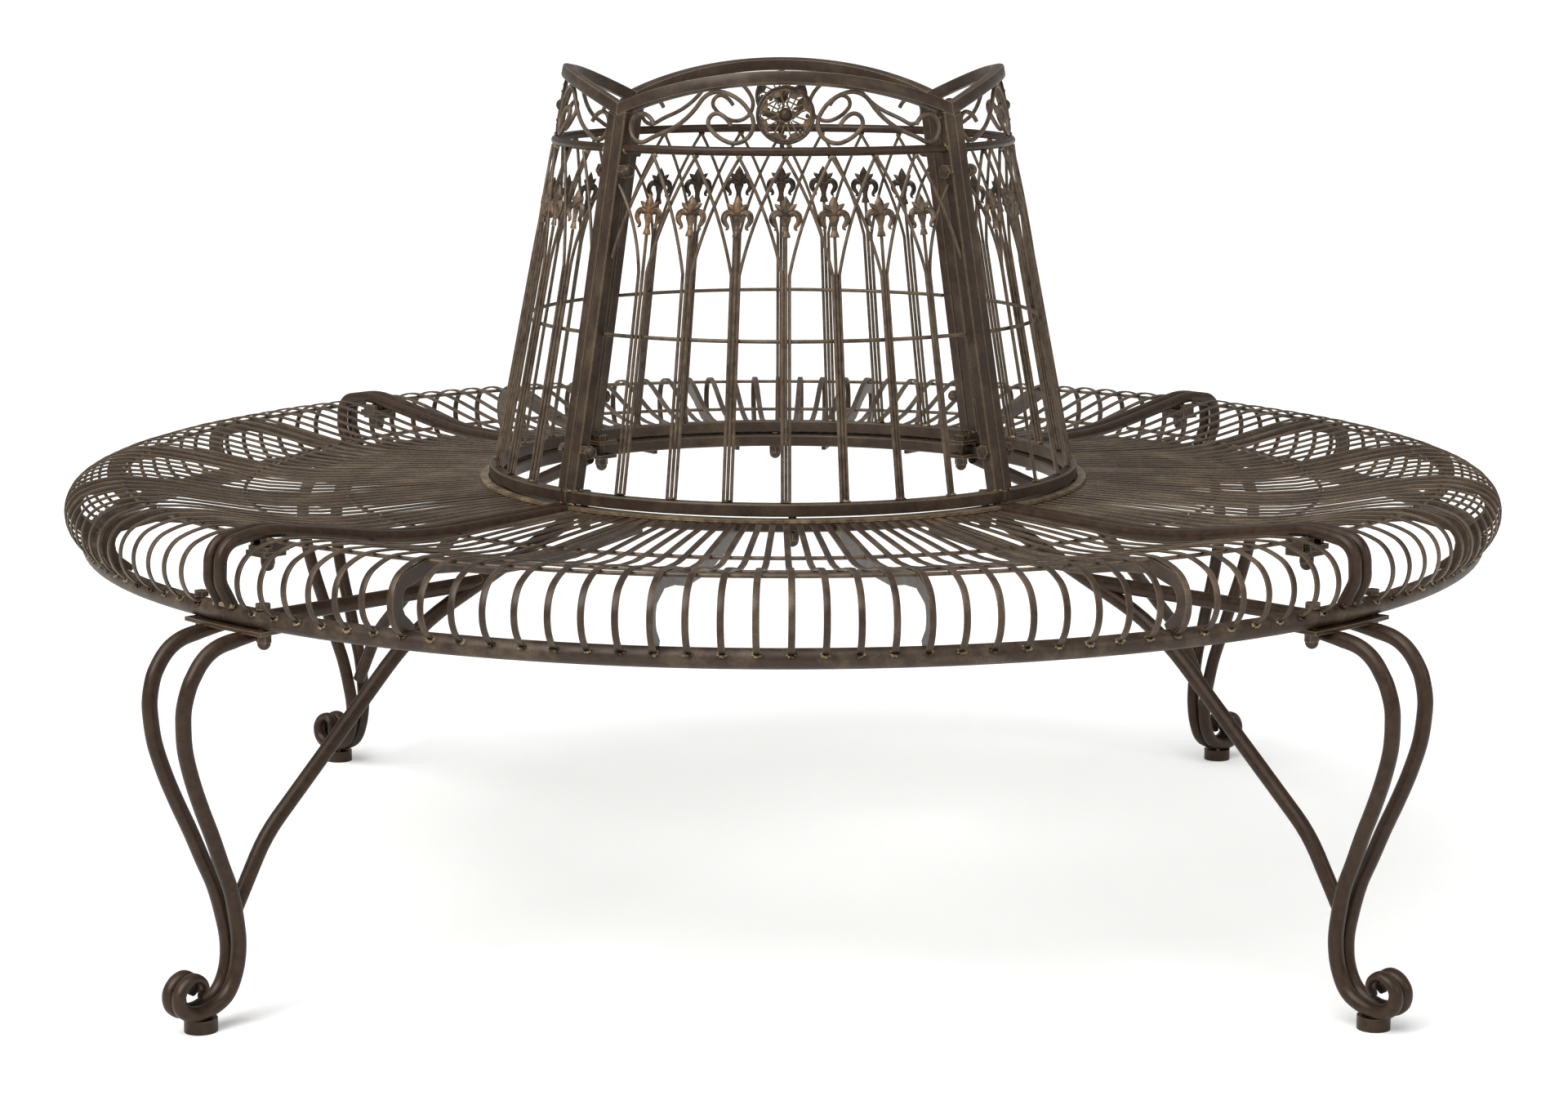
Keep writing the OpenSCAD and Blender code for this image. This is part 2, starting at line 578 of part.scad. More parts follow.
// Legs
module leg_tube(s, d)
    at_az(45*s) tube([for (p = leg_profile) in_plane(p, -s*leg_side(p[1]))], [1, 0, 0], d);
module legs(k) color(BRONZE) quarter(k) for (s = [-1, 1]) leg_tube(s, leg_d);
module leg_plates() color(BRONZE) four() difference() {
    a = 45 - plate_angle/2;
    ring_arc(outer_ring_r, plate_top - plate_t, a, a + plate_angle)
        translate([-plate_w/2, 0]) square([plate_w, plate_t]);
    for (s = [-1, 1]) at_az(45 + s*ring_bolt_angle) bolt_hole(outer_ring_r, plate_top, 2*plate_t);
}
module brace_tube(d) at_az(45)
    tube([for (p = brace_path) in_plane(p)], in_plane(brace_path[1] - brace_path[0]), d);
// The stretch of a corner's two legs that the brace meets, thicker by a gap all round
module leg_stretch() at_az(45) for (s = [-1, 1]) {
    i = 5;
    p = [for (q = leg_profile) in_plane(q, s*leg_side(q[1]))];
    bend(p[i], p[i + 1], headings(p, [1, 0, 0])[i], leg_d + 2*gap);
}
module braces() color(BRONZE) four() difference() {
    brace_tube(leg_d);
    leg_stretch();
}
// The brace's straight upper run, thicker by a gap all round, from a little before its start
module brace_upper_run() {
    run = [for (p = brace_path) in_plane(p)];
    last = len(run) - 2;
    bend(run[last], run[last + 1], unit(run[last + 1] - run[last]), leg_d + 2*gap, -leg_d);
}
module struts() color(BRONZE) four() at_az(45) difference() {
    translate([strut_start[0], 0, strut_z]) rotate([0, 90, 0])
        cylinder(h = plate_inner - gap - strut_start[0], d = leg_d, $fn = 32);
    brace_upper_run();
}
module foot_pads() color(BRONZE) four()
    at_az(45) translate([foot_r, 0, 0]) cylinder(h = pad_h, d = pad_d, $fn = 48);

// Lugs: a plate under one end rib, hung from it by a web that stops short of the hoop
module crest_lug(z) {
    web_off = end_rib_off + end_rib_d/2 - crest_web_in;
    start = crest_lug_r - crest_lug_l/2;
    difference() {
        translate([start, -crest_lug_reach, z])
            cube([crest_lug_l, crest_lug_reach + web_off + crest_web_t, crest_lug_t]);
        bolt_hole(crest_lug_r, z, 3*crest_lug_t);
    }
    translate([start, web_off, z])
        cube([hoop_radii[0] - hoop_d/2 - gap - start, crest_web_t, crest_lug_rib_z + crest_web_rise - z]);
}
module crest_lugs() color(BRONZE) four() at_az(45) {
    crest_lug(crest_lug_top - crest_lug_t);
    mirror([0, 1, 0]) crest_lug(crest_lug_top - 2*crest_lug_t - gap);
}
module corner_lug(z, face_r) difference() {
    outer = sqrt(face_r*face_r - pow(corner_lug_w/2, 2)) - gap;
    translate([corner_lug_r, -corner_lug_w/2, z]) cube([outer - corner_lug_r, corner_lug_w, corner_lug_t]);
    bolt_hole(corner_bolt_r, z, 3*corner_lug_t);
}
module corner_lugs() color(BRONZE) four() at_az(45) {
    corner_lug(seat_lug_z, inner_ring_r - bar/2);
    corner_lug(back_lug_z, base_rail_r - bar/2);
}

// Fasteners: drawn pointing down, with the seat of the head or nut at height 0
module hex_bolt(grip) {
    cylinder(h = head_h, d = nut_af/cos(30), $fn = 6);
    translate([0, 0, -grip]) cylinder(h = grip + 1, d = bolt_d, $fn = 24);
}
module cap_nut() difference() {
    union() {
        translate([0, 0, -nut_h/2]) cylinder(h = nut_h/2, d = nut_af/cos(30), $fn = 6);
        translate([0, 0, -nut_h + nut_af/2]) sphere(d = nut_af - 0.2, $fn = 32);
        translate([0, 0, -nut_h + nut_af/2]) cylinder(h = nut_h/2 - 0.2, d = nut_af - 0.2, $fn = 32);
    }
    translate([0, 0, -nut_bore_depth]) cylinder(h = nut_h, d = bolt_d + 2*thread_gap, $fn = 24);
}
module at_each_bolt(nuts) four() at_az(45) {
    // Through the outer ring and the leg plate
    for (s = [-1, 1]) rotate([0, 0, s*ring_bolt_angle])
        translate([outer_ring_r, 0, nuts ? plate_top - plate_t - gap : outer_ring_top + gap])
            fastener(nuts, outer_ring_d + plate_t + 3*gap);
    // Through the lugs under the seat's crest
    translate([crest_lug_r, 0, nuts ? crest_lug_top - 2*crest_lug_t - 2*gap : crest_lug_top + gap])
        fastener(nuts, 2*crest_lug_t + 3*gap);
    // Through the two lugs inside the ring
    translate([corner_bolt_r, 0, nuts ? seat_lug_z - gap : back_lug_z + corner_lug_t + gap])
        fastener(nuts, back_lug_z - seat_lug_z + corner_lug_t + 2*gap);
    // Through the two posts
    for (z = [post_bolt_low, post_bolt_high]) translate([back_r(z), nuts ? post_side : -post_side, z])
        rotate([90, 0, 0]) fastener(nuts, 2*post_side);
}
// Shank long enough to enter the nut by two thirds of its bore
module fastener(nut, grip) if (nut) cap_nut(); else hex_bolt(grip + 0.65*nut_bore_depth);
module bolts() color(STEEL) at_each_bolt(false);
module cap_nuts() color(STEEL) {
    at_each_bolt(true);
    four() at_az(stud_az) translate([stud_r, 0, inner_ring_z - bar/2 - gap]) cap_nut();
}
module panel_studs() color(STEEL) four() at_az(stud_az) {
    low = inner_ring_z - bar/2 - gap - 0.65*nut_bore_depth;
    translate([stud_r, 0, low]) cylinder(h = base_rail_z - bar/2 - gap - low, d = bolt_d, $fn = 24);
}

for (k = [0:3]) {
    name = QUARTERS[k];
    seat_slats(k);
    seat_end_ribs(k);
    seat_outer_ring(k);
    seat_inner_ring(k);
    back_base_rail(k);
    back_posts(k);
    back_crest_rail(k);
    back_spindles(k);
    back_lattice(k);
    legs(k);
}
support_ribs();
seat_hoops();
collar_strips();
top_rails();
waist_wires();
finials();
scrolls();
rosettes();
leg_plates();
braces();
struts();
foot_pads();
crest_lugs();
corner_lugs();
bolts();
cap_nuts();
panel_studs();
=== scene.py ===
import math
import random

import bmesh
import bpy
import numpy as np
from bpy.props import FloatProperty, FloatVectorProperty, IntProperty, PointerProperty
from mathutils import Matrix, Vector


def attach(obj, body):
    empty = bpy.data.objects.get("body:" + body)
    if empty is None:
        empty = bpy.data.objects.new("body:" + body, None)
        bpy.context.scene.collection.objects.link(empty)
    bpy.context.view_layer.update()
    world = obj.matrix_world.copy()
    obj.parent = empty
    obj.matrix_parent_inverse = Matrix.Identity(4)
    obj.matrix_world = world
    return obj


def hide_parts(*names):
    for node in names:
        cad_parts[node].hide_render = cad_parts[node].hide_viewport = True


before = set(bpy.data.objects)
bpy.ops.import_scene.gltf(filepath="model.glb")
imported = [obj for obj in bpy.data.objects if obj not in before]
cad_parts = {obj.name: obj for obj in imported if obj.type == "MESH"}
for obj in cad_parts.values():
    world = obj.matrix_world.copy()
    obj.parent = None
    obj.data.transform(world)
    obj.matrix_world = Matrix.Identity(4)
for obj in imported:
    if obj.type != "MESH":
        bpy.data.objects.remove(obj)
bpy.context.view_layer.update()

bl_info = {
    "name": "Wrought Iron Tree Bench",
    "version": (1, 0, 0),
    "blender": (4, 5, 0),
    "location": "3D View > Sidebar > Tree Bench",
    "description": "Slats, castings, scrolls, welds and rubbed enamel on the frame of a round tree bench",
    "category": "Object",
}

QUARTERS = ("front", "right", "back", "left")
# Metres in a millimetre
MM = 0.001
# Gap in millimetres between pieces that touch on the real bench
TOUCH = 0.3
UP = np.array([0, 0, 1.0])
# Section of a leaf one unit wide and deep, with a ridge on both faces
LEAF_OUTLINE = [
    (0.5, 0), (0.3, 0.34), (0, 0.5), (-0.3, 0.34), (-0.5, 0), (-0.3, -0.34), (0, -0.5), (0.3, -0.34),
]


def linear(hex_colour):
    """The linear RGBA of an sRGB hex colour."""
    parts = [int(hex_colour[i:i + 2], 16) / 255 for i in (1, 3, 5)]
    return [c / 12.92 if c <= 0.04045 else ((c + 0.055) / 1.055) ** 2.4 for c in parts] + [1.0]


def length(text, default_mm):
    """A length property of the bench, given in millimetres and kept in metres."""
    return FloatProperty(name=text, description=text, default=default_mm * MM, min=0, unit="LENGTH")


def angle(text, default_degrees):
    """An angle property of the bench, given in degrees."""
    return FloatProperty(name=text, description=text, default=math.radians(default_degrees), subtype="ANGLE")


def colour(text, hex_colour):
    """A colour property of the bench, from an sRGB hex value."""
    return FloatVectorProperty(name=text, description=text, default=linear(hex_colour), size=4,
                               subtype="COLOR", min=0, max=1)


class BenchSeatSizes(bpy.types.PropertyGroup):
    """Sizes of the seat, as the frame has them but for the slats' thickness and edges."""
    crest_r: length("Radius of the seat's highest line", 705)
    crest_z: length("Height of the seat's highest line", 467)
    dip_r: length("Radius of the seat's lowest line", 480)
    dip_z: length("Height of the seat's lowest line", 441)
    inner_r: length("Radius of a slat's inner end", 312.8)
    inner_z: length("Height of a slat's inner end", 447)
    roll_r: length("Radius that the rolled edge reaches", 763.5)
    roll_z: length("Height of the rolled edge's widest line", 433)
    ring_r: length("Radius of the outer ring", 738)
    ring_z: length("Height of the outer ring", 396)
    ring_d: length("Diameter of the outer ring's tube", 19)
    slat_w: length("Width of a slat", 6.4)
    slat_t: length("Thickness of a slat, hammered thin", 1.9)
    slat_edge: length("Radius of a slat's worn edges", 0.5)
    end_rib_off: length("Distance of an end rib from its corner", 8.05)
    end_rib_d: length("Diameter of an end rib", 12.5)
    slat_count: IntProperty(name="Slats in a quarter", description="Slats in a quarter of the seat",
                            default=37)


class BenchBackSizes(bpy.types.PropertyGroup):
    """Sizes of the back, as the frame has them."""
    lean: angle("Lean of the back towards the tree", 11)
    base_r: length("Radius of the bottom rail", 310.8)
    base_z: length("Height of the bottom rail", 459.3)
    bar: length("Width of the square bar", 13)
    bar_edge: length("Radius on the bar's corners", 2)
    top_rail_z: length("Height of the round rail", 810)
    top_rail_d: length("Diameter of the round rail", 9)
    crest_mid_z: length("Height of the crest rail's middle", 882.7)
    crest_drop: length("Drop of the crest rail to its ends", 34.5)
    spindle_pitch: angle("Angle between two spindles", 10.9)
    scroll_d: length("Diameter of the scrolls' wire", 4.6)
    finial_z: length("Height of a finial's foot", 725.5)
    rosette_r: length("Radius of a rosette", 29.8)
    rim_d: length("Diameter of a rosette's rim", 3.2)
    boss_d: length("Diameter of a rosette's boss", 11.5)


class BenchLegSizes(bpy.types.PropertyGroup):
    """Sizes of the legs; the splay is the photograph's, the rest as the frame has them."""
    tube_d: length("Diameter of a leg's tube", 15)
    foot_r: length("Radius of the circle through the feet", 785.6)
    pad_h: length("Height of a foot pad", 13)
    plate_t: length("Thickness of the plate on the legs", 4)
    splay_z: length("Height where two legs begin to part", 60)
    splay: FloatProperty(name="Splay", description="Sideways run of a leg for its rise above that height",
                         default=0.0735)
    spread: length("Most that a leg runs sideways", 21)


class BenchColours(bpy.types.PropertyGroup):
    """Colours of the bench's finishes."""
    bronze: colour("Dark bronze paint", "#271B12")
    bronze_warm: colour("Thinner, warmer paint", "#433122")
    rubbed: colour("Paint rubbed towards the metal", "#75634E")
    bright: colour("Edges worn bright", "#A8946F")
    copper: colour("Copper rub on the castings", "#6E5338")
    gold: colour("Gold on the castings' high points", "#C48A45")
    # Also laid over the castings' side that faces the tree as painted shade
    recess: colour("Paint in the castings' hollows", "#1C1410")
    weld: colour("Lacquered weld metal", "#8F8565")
    rust: colour("Rust at the welds", "#94603A")
    floor: colour("Studio floor", "#F7F7F5")


class BenchSettings(bpy.types.PropertyGroup):
    """All the settings of the bench."""
    seat: PointerProperty(type=BenchSeatSizes)
    back: PointerProperty(type=BenchBackSizes)
    legs: PointerProperty(type=BenchLegSizes)
    colours: PointerProperty(type=BenchColours)


def settings():
    """The bench's settings in this scene."""
    return bpy.context.scene.bench


# Lines and sections, in millimetres


def mm(value):
    """A property in metres as millimetres."""
    return value / MM


def unit(v):
    """The vector's direction."""
    return v / np.linalg.norm(v)


def between(a, b, out_share, up_share):
    """Point (r, z) at a share of the way from a to b, outwards and upwards."""
    return a + np.array([out_share, up_share]) * (b - a)


def chain(knots, heading, step=6.0, run=40.0):
    """Points along tangent arcs through the knots, the first of which leaves along heading.

    Neighbouring points are at most step degrees of an arc or run millimetres apart.
    """
    knots = [np.array(k, float) for k in knots]
    t = unit(np.array(heading, float))
    points = [knots[0]]
    for a, b in zip(knots[:-1], knots[1:]):
        c = b - a
        side = c - (c @ t) * t
        if np.linalg.norm(side) < 1e-3:
            count = max(1, math.ceil(np.linalg.norm(c) / run))
            points += [a + c * (i / count) for i in range(1, count + 1)]
            continue
        n = unit(side)
        half = math.acos(c @ t / np.linalg.norm(c))
        r = np.linalg.norm(c) / 2 / math.sin(half)
        count = max(1, math.ceil(math.degrees(2 * half) / step), math.ceil(2 * half * r / run))
        turns = [2 * half * i / count for i in range(1, count + 1)]
        points += [a + r * (1 - math.cos(q)) * n + r * math.sin(q) * t for q in turns]
        t = math.cos(2 * half) * t + math.sin(2 * half) * n
    return np.array(points)


def smooth_line(knots, count):
    """A smooth line through the knots, which may hold widths and depths beside a place."""
    k = np.array(knots, float)
    k = np.vstack([2 * k[0] - k[1], k, 2 * k[-1] - k[-2]])
    points = []
    for u in np.linspace(0, len(k) - 3 - 1e-6, count):
        i = int(u)
        f = u - i
        a, b, c, d = k[i:i + 4]
        points.append(0.5 * (2 * b + (c - a) * f + (2 * a - 5 * b + 4 * c - d) * f * f
                             + (3 * b - a - 3 * c + d) * f ** 3))
    return np.array(points)


def round_outline(d, sides=12):
    """Section of a round bar."""
    turns = np.linspace(0, 2 * math.pi, sides, endpoint=False)
    return [(d / 2 * math.cos(a), d / 2 * math.sin(a)) for a in turns]


def soft_outline(w, h, r, steps=2):
    """Section of a flat bar with rounded corners."""
    points = []
    for corner, (sx, sy) in enumerate(((1, 1), (-1, 1), (-1, -1), (1, -1))):
        for i in range(steps + 1):
            a = math.pi / 2 * (corner + i / steps)
            points.append((sx * (w / 2 - r) + r * math.cos(a), sy * (h / 2 - r) + r * math.sin(a)))
    return points


def skin(rings, sides, closed=False):
    """Faces over rings of points: the ends are capped, or the last ring meets the first."""
    faces = []
    for i in range(rings if closed else rings - 1):
        j = (i + 1) % rings
        faces += [(i * sides + k, i * sides + (k + 1) % sides, j * sides + (k + 1) % sides, j * sides + k)
                  for k in range(sides)]
    if not closed:
        faces.append(tuple(range(sides))[::-1])
        faces.append(tuple((rings - 1) * sides + k for k in range(sides)))
    return faces


def sweep(path, outline, up, scale=None):
    """Vertices and faces of a section carried along a path, with its second axis near up."""
    path = np.array(path, float)
    outline = np.array(outline, float)
    tangents = np.gradient(path, axis=0)
    tangents /= np.linalg.norm(tangents, axis=1)[:, None]
    rows = []
    up = np.array(up, float)
    for i, (p, t) in enumerate(zip(path, tangents)):
        up = unit(up - (up @ t) * t)
        side = np.cross(up, t)
        s = (1, 1) if scale is None else scale[i]
        rows.append(p + np.outer(outline[:, 0] * s[0], side) + np.outer(outline[:, 1] * s[1], up))
    return np.vstack(rows), skin(len(path), len(outline))


def ball(radii, rings=6, sides=10):
    """Vertices and faces of a ball stretched to three radii."""
    rows = [[(0.0, 0.0, -1.0)]]
    for i in range(1, rings):
        a = math.pi * i / rings
        rows.append([(math.sin(a) * math.cos(b), math.sin(a) * math.sin(b), -math.cos(a))
                     for b in np.linspace(0, 2 * math.pi, sides, endpoint=False)])
    rows.append([(0.0, 0.0, 1.0)])
    verts = np.array([p for row in rows for p in row]) * np.array(radii)
    faces = [(0, 1 + (j + 1) % sides, 1 + j) for j in range(sides)]
    for i in range(rings - 2):
        a, b = 1 + i * sides, 1 + (i + 1) * sides
        faces += [(a + j, a + (j + 1) % sides, b + (j + 1) % sides, b + j) for j in range(sides)]
    top = len(verts) - 1
    faces += [(top - sides + j, top - sides + (j + 1) % sides, top) for j in range(sides)]
    return verts, faces


def radial(az, r, z):
    """Place at an azimuth in degrees, 0 at the front and growing to the right."""
    a = math.radians(az)
    return np.array([r * math.sin(a), -r * math.cos(a), z])


def across(az):
    """Direction along the bench's edge, towards growing azimuth."""
    a = math.radians(az)
    return np.array([math.cos(a), math.sin(a), 0.0])


def level_axes(az):
    """Directions out of the bench, along its edge and upwards."""
    return radial(az, 1, 0), across(az), UP


def placed(verts, origin, out, side, up):
    """Vertices given as (out, side, up) moved to their place."""
    return np.array(origin) + verts @ np.array([out, side, up])


class Shape:
    """Vertices and faces, in millimetres, that become one piece."""

    def __init__(self):
        self.verts, self.faces, self.count = [], [], 0

    def add(self, verts, faces):
        """Adds one closed solid."""
        self.verts.append(np.asarray(verts, float))
        self.faces += [tuple(self.count + i for i in f) for f in faces]
        self.count += len(verts)

    def add_placed(self, solids, place, axes):
        """Adds solids drawn in (out, side, up) at a place."""
        for verts, faces in solids:
            self.add(placed(verts, place, *axes), faces)

    def piece(self, name, material, slot, nodes=(), sharp=40.0):
        """Makes the piece, which rides on the bench and stands for the named nodes."""
        mesh = bpy.data.meshes.new(name)
        mesh.from_pydata((np.vstack(self.verts) * MM).tolist(), [], self.faces)
        bm = bmesh.new()
        bm.from_mesh(mesh)
        bmesh.ops.recalc_face_normals(bm, faces=bm.faces)
        bm.to_mesh(mesh)
        bm.free()
        mesh.shade_smooth()
        mesh.set_sharp_from_angle(angle=math.radians(sharp))
        mesh.materials.append(material)
        obj = bpy.data.objects.new(name, mesh)
        bpy.context.scene.collection.objects.link(obj)
        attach(obj, "root")
        if nodes:
            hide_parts(*nodes)


# Lines of the bench, as the frame has them


def seat_line():
    """Middle line (r, z) of a slat from the inner ring over the rolled edge to the outer ring."""
    seat = settings().seat
    dip = np.array([mm(seat.dip_r), mm(seat.dip_z)])
    crest = np.array([mm(seat.crest_r), mm(seat.crest_z)])
    roll = np.array([mm(seat.roll_r), mm(seat.roll_z)])
    landing = math.radians(37)
    reach = mm(seat.ring_d) / 2 + TOUCH + mm(seat.slat_t) / 4
    knots = [
        (mm(seat.inner_r), mm(seat.inner_z)),
        dip,
        between(dip, crest, 0.49, 0.29),
        between(dip, crest, 0.756, 0.75),
        crest,
        between(crest, roll, 0.684, 0.22),
        roll,
        (mm(seat.ring_r) + reach * math.cos(landing), mm(seat.ring_z) + reach * math.sin(landing)),
    ]
    inner_heading = (1, -0.02)
    return chain(knots, inner_heading)


def slat_azimuths():
    """Azimuths of a quarter's slats, from its middle."""
    seat = settings().seat
    clear = mm(seat.end_rib_off) + (mm(seat.end_rib_d) + mm(seat.slat_w)) / 2 + TOUCH
    last = 45 - math.degrees(math.asin(clear / (mm(seat.inner_r) - TOUCH)))
    half = (seat.slat_count - 1) // 2
    return [last * i / half for i in range(-half, half + 1)]


def spindle_azimuths():
    """Azimuths of a quarter's seven spindles, from its middle."""
    return [math.degrees(settings().back.spindle_pitch) * i for i in range(-3, 4)]


def back_r(z):
    """Radius of the leaning back at a height."""
    back = settings().back
    return mm(back.base_r) - (z - mm(back.base_z)) * math.tan(back.lean)


def on_back(az, z):
    """Place on the leaning back."""
    return radial(az, back_r(z), z)


def back_axes(az):
    """Directions out of the back, along it and up its slope."""
    lean, a = settings().back.lean, math.radians(az)
    out = np.array([math.cos(lean) * math.sin(a), -math.cos(lean) * math.cos(a), math.sin(lean)])
    up = np.array([-math.sin(lean) * math.sin(a), math.sin(lean) * math.cos(a), math.cos(lean)])
    return out, across(az), up


def crest_z(az):
    """Height of the crest rail at an azimuth of its quarter."""
    back = settings().back
    return mm(back.crest_mid_z) - mm(back.crest_drop) * (az / 45) ** 2


def scroll_line():
    """Line of the scroll on the growing side of the front quarter.

    Its knots are shares of the field between rosette, post, round rail and crest rail.
    """
    back = settings().back
    wire_r = mm(back.scroll_d) / 2
    low_gap = 0.2
    low = mm(back.top_rail_z) + mm(back.top_rail_d) / 2 + wire_r + low_gap
    start = math.degrees(math.asin((mm(back.rosette_r) + wire_r + TOUCH) / back_r(low)))
    post_side = mm(back.bar) + 2 * TOUCH
    curl_rise = 20
    end = 45 - math.degrees(math.asin((post_side + wire_r + TOUCH) / back_r(low + curl_rise)))

    def place(across_share, up_share):
        az = start + across_share * (end - start)
        high = crest_z(az) - (mm(back.bar) / 2 + wire_r + TOUCH)
        return on_back(az, low + up_share * (high - low))

    shares = [
        (0.785, 0.49), (0.9, 0.88), (1, 0.6), (0.833, 0.043), (0.7, 0.24), (0.41, 0.85),
        (0.23, 0.97), (0.015, 0.5), (0.18, 0.035), (0.329, 0.33), (0.251, 0.565), (0.167, 0.35),
    ]
    knots = [place(*share) for share in shares]
    ahead = place(shares[0][0] + 0.045, shares[0][1] + 0.35)
    return chain(knots, ahead - knots[0], step=9, run=8)


def rosette_z():
    """Height of a rosette's middle, a little above halfway from the round rail to the crest rail."""
    back = settings().back
    low = mm(back.top_rail_z) + mm(back.top_rail_d) / 2
    high = mm(back.crest_mid_z) - mm(back.bar) / 2 / math.cos(back.lean)
    raised = 0.7
    return (low + high) / 2 + raised


def leg_line(side):
    """Line of the leg on a side of a corner, as (r, off, z) rows, from its top to the curled tip.

    The profile's places are measured from the circle through the feet, and from the height of the
    tube under the plate or on the pad.
    """
    legs, seat = settings().legs, settings().seat
    top = mm(seat.ring_z) - mm(seat.ring_d) / 2 - mm(legs.plate_t) - 2 * TOUCH - mm(legs.tube_d) / 2
    low = mm(legs.pad_h) + TOUCH + mm(legs.tube_d) / 2
    profile = [
        (-62, top + 3.5), (-44, top + 2.7), (-28, top + 1.5), (-12, top - 1.5), (0, top - 7),
        (9.5, top - 15), (17, top - 25), (22.5, top - 35), (27.5, top - 52), (28.5, top - 68),
        (26, top - 95), (17.5, top - 125), (6, top - 155), (-6.5, top - 184),
        (-18.5, low + 139), (-29, low + 113), (-36, low + 84), (-39.5, low + 57), (-36, low + 31),
        (-24, low + 10), (-2, low), (16, low + 0.5), (27, low + 8), (29.5, low + 20), (23, low + 30.5),
        (12, low + 35), (3, low + 30.5), (0.5, low + 22), (5.5, low + 13.5),
    ]
    off = mm(legs.tube_d) / 2 + TOUCH
    knots = []
    for r, z in profile:
        run = min(mm(legs.spread), max(0, legs.splay * (z - mm(legs.splay_z))))
        knots.append((mm(legs.foot_r) + r, -side * (off + run), z))
    return smooth_line(knots, 12 * len(knots))


def corner_point(az, p):
    """A row (r, off, z) of a corner's radial plane as a place."""
    return radial(az, p[0], p[2]) + p[1] * across(az)


# Materials


def add(tree, kind, sockets=None, **values):
    """Adds one node to a material; sockets maps input names or numbers to values or to other outputs."""
    node = tree.nodes.new(kind)
    for key, value in values.items():
        setattr(node, key, value)
    for key, value in (sockets or {}).items():
        if isinstance(value, bpy.types.NodeSocket):
            tree.links.new(value, node.inputs[key])
        else:
            node.inputs[key].default_value = value
    return node


def new_material(name):
    """An empty node material, its tree and the object's own coordinates."""
    material = bpy.data.materials.new(name)
    material.use_nodes = True
    tree = material.node_tree
    tree.nodes.clear()
    place = add(tree, "ShaderNodeTexCoord").outputs["Object"]
    return material, tree, place


def per_mm(size):
    """Noise scale that gives features of a size in millimetres."""
    return 1 / (size * MM)


def rubbed_enamel(name, ground, thin, rubbed, bright, rub=0.5, rough=0.42, patch=45, edge=1.2, shine=0.45):
    """Bronze enamel sprayed on mild steel and rubbed back by hand.

    The spray leaves a dark, half glossy brown. Rubbing takes it towards grey metal in patches along
    the bars, and bares the corners, and drips and grit leave a slight orange peel under it.
    """
    material, tree, place = new_material(name)
    # The waves of orange peel are about 2 mm long and the pad's scratches under 0.5 mm wide. Both are
    # too fine to show, so they are drawn coarser.
    peel_size, scratch_size = 9, 1.6
    patches = add(tree, "ShaderNodeTexNoise", {
        "Vector": place, "Scale": per_mm(patch), "Detail": 3.0, "Roughness": 0.6,
    }).outputs["Fac"]
    grain = add(tree, "ShaderNodeTexNoise", {
        "Vector": place, "Scale": per_mm(peel_size), "Detail": 3.0, "Roughness": 0.6,
    }).outputs["Fac"]
    scratches = add(tree, "ShaderNodeTexNoise", {
        "Vector": place, "Scale": per_mm(scratch_size), "Detail": 2.0,
    }).outputs["Fac"]
    thinner = add(tree, "ShaderNodeMapRange", {"Value": grain, "From Min": 0.22, "From Max": 0.9}).outputs[0]
    coat = add(tree, "ShaderNodeMix", {0: thinner, 6: ground, 7: thin}, data_type="RGBA").outputs[2]
    worn = add(tree, "ShaderNodeMapRange", {
        "Value": patches, "From Min": 0.46, "From Max": 0.72, "To Max": rub,
    }).outputs[0]
    broken = add(tree, "ShaderNodeMapRange", {
        "Value": scratches, "From Min": 0.3, "From Max": 0.7, "To Min": 0.35,
    }).outputs[0]
    worn = add(tree, "ShaderNodeMath", {0: worn, 1: broken}, operation="MULTIPLY").outputs[0]
    coat = add(tree, "ShaderNodeMix", {0: worn, 6: coat, 7: rubbed}, data_type="RGBA").outputs[2]
    normal = add(tree, "ShaderNodeNewGeometry").outputs["Normal"]
    bevel = add(tree, "ShaderNodeBevel", {"Radius": edge * MM}, samples=4).outputs["Normal"]
    turn = add(tree, "ShaderNodeVectorMath", {0: normal, 1: bevel}, operation="DOT_PRODUCT").outputs["Value"]
    corner = add(tree, "ShaderNodeMapRange", {"Value": turn, "From Min": 0.985, "From Max": 0.93}).outputs[0]
    corner = add(tree, "ShaderNodeMath", {0: corner, 1: broken}, operation="MULTIPLY").outputs[0]
    coat = add(tree, "ShaderNodeMix", {0: corner, 6: coat, 7: bright}, data_type="RGBA").outputs[2]
    gloss = add(tree, "ShaderNodeMapRange", {
        "Value": grain, "To Min": rough - 0.08, "To Max": rough + 0.14,
    }).outputs[0]
    peel = add(tree, "ShaderNodeBump", {"Height": grain, "Distance": 0.25 * MM, "Strength": 0.2}).outputs[0]
    shader = add(tree, "ShaderNodeBsdfPrincipled", {
        "Base Color": coat, "Roughness": gloss, "Normal": peel, "Metallic": 0.2, "Specular IOR Level": shine,
    })
    add(tree, "ShaderNodeOutputMaterial", {"Surface": shader.outputs[0]})
    return material


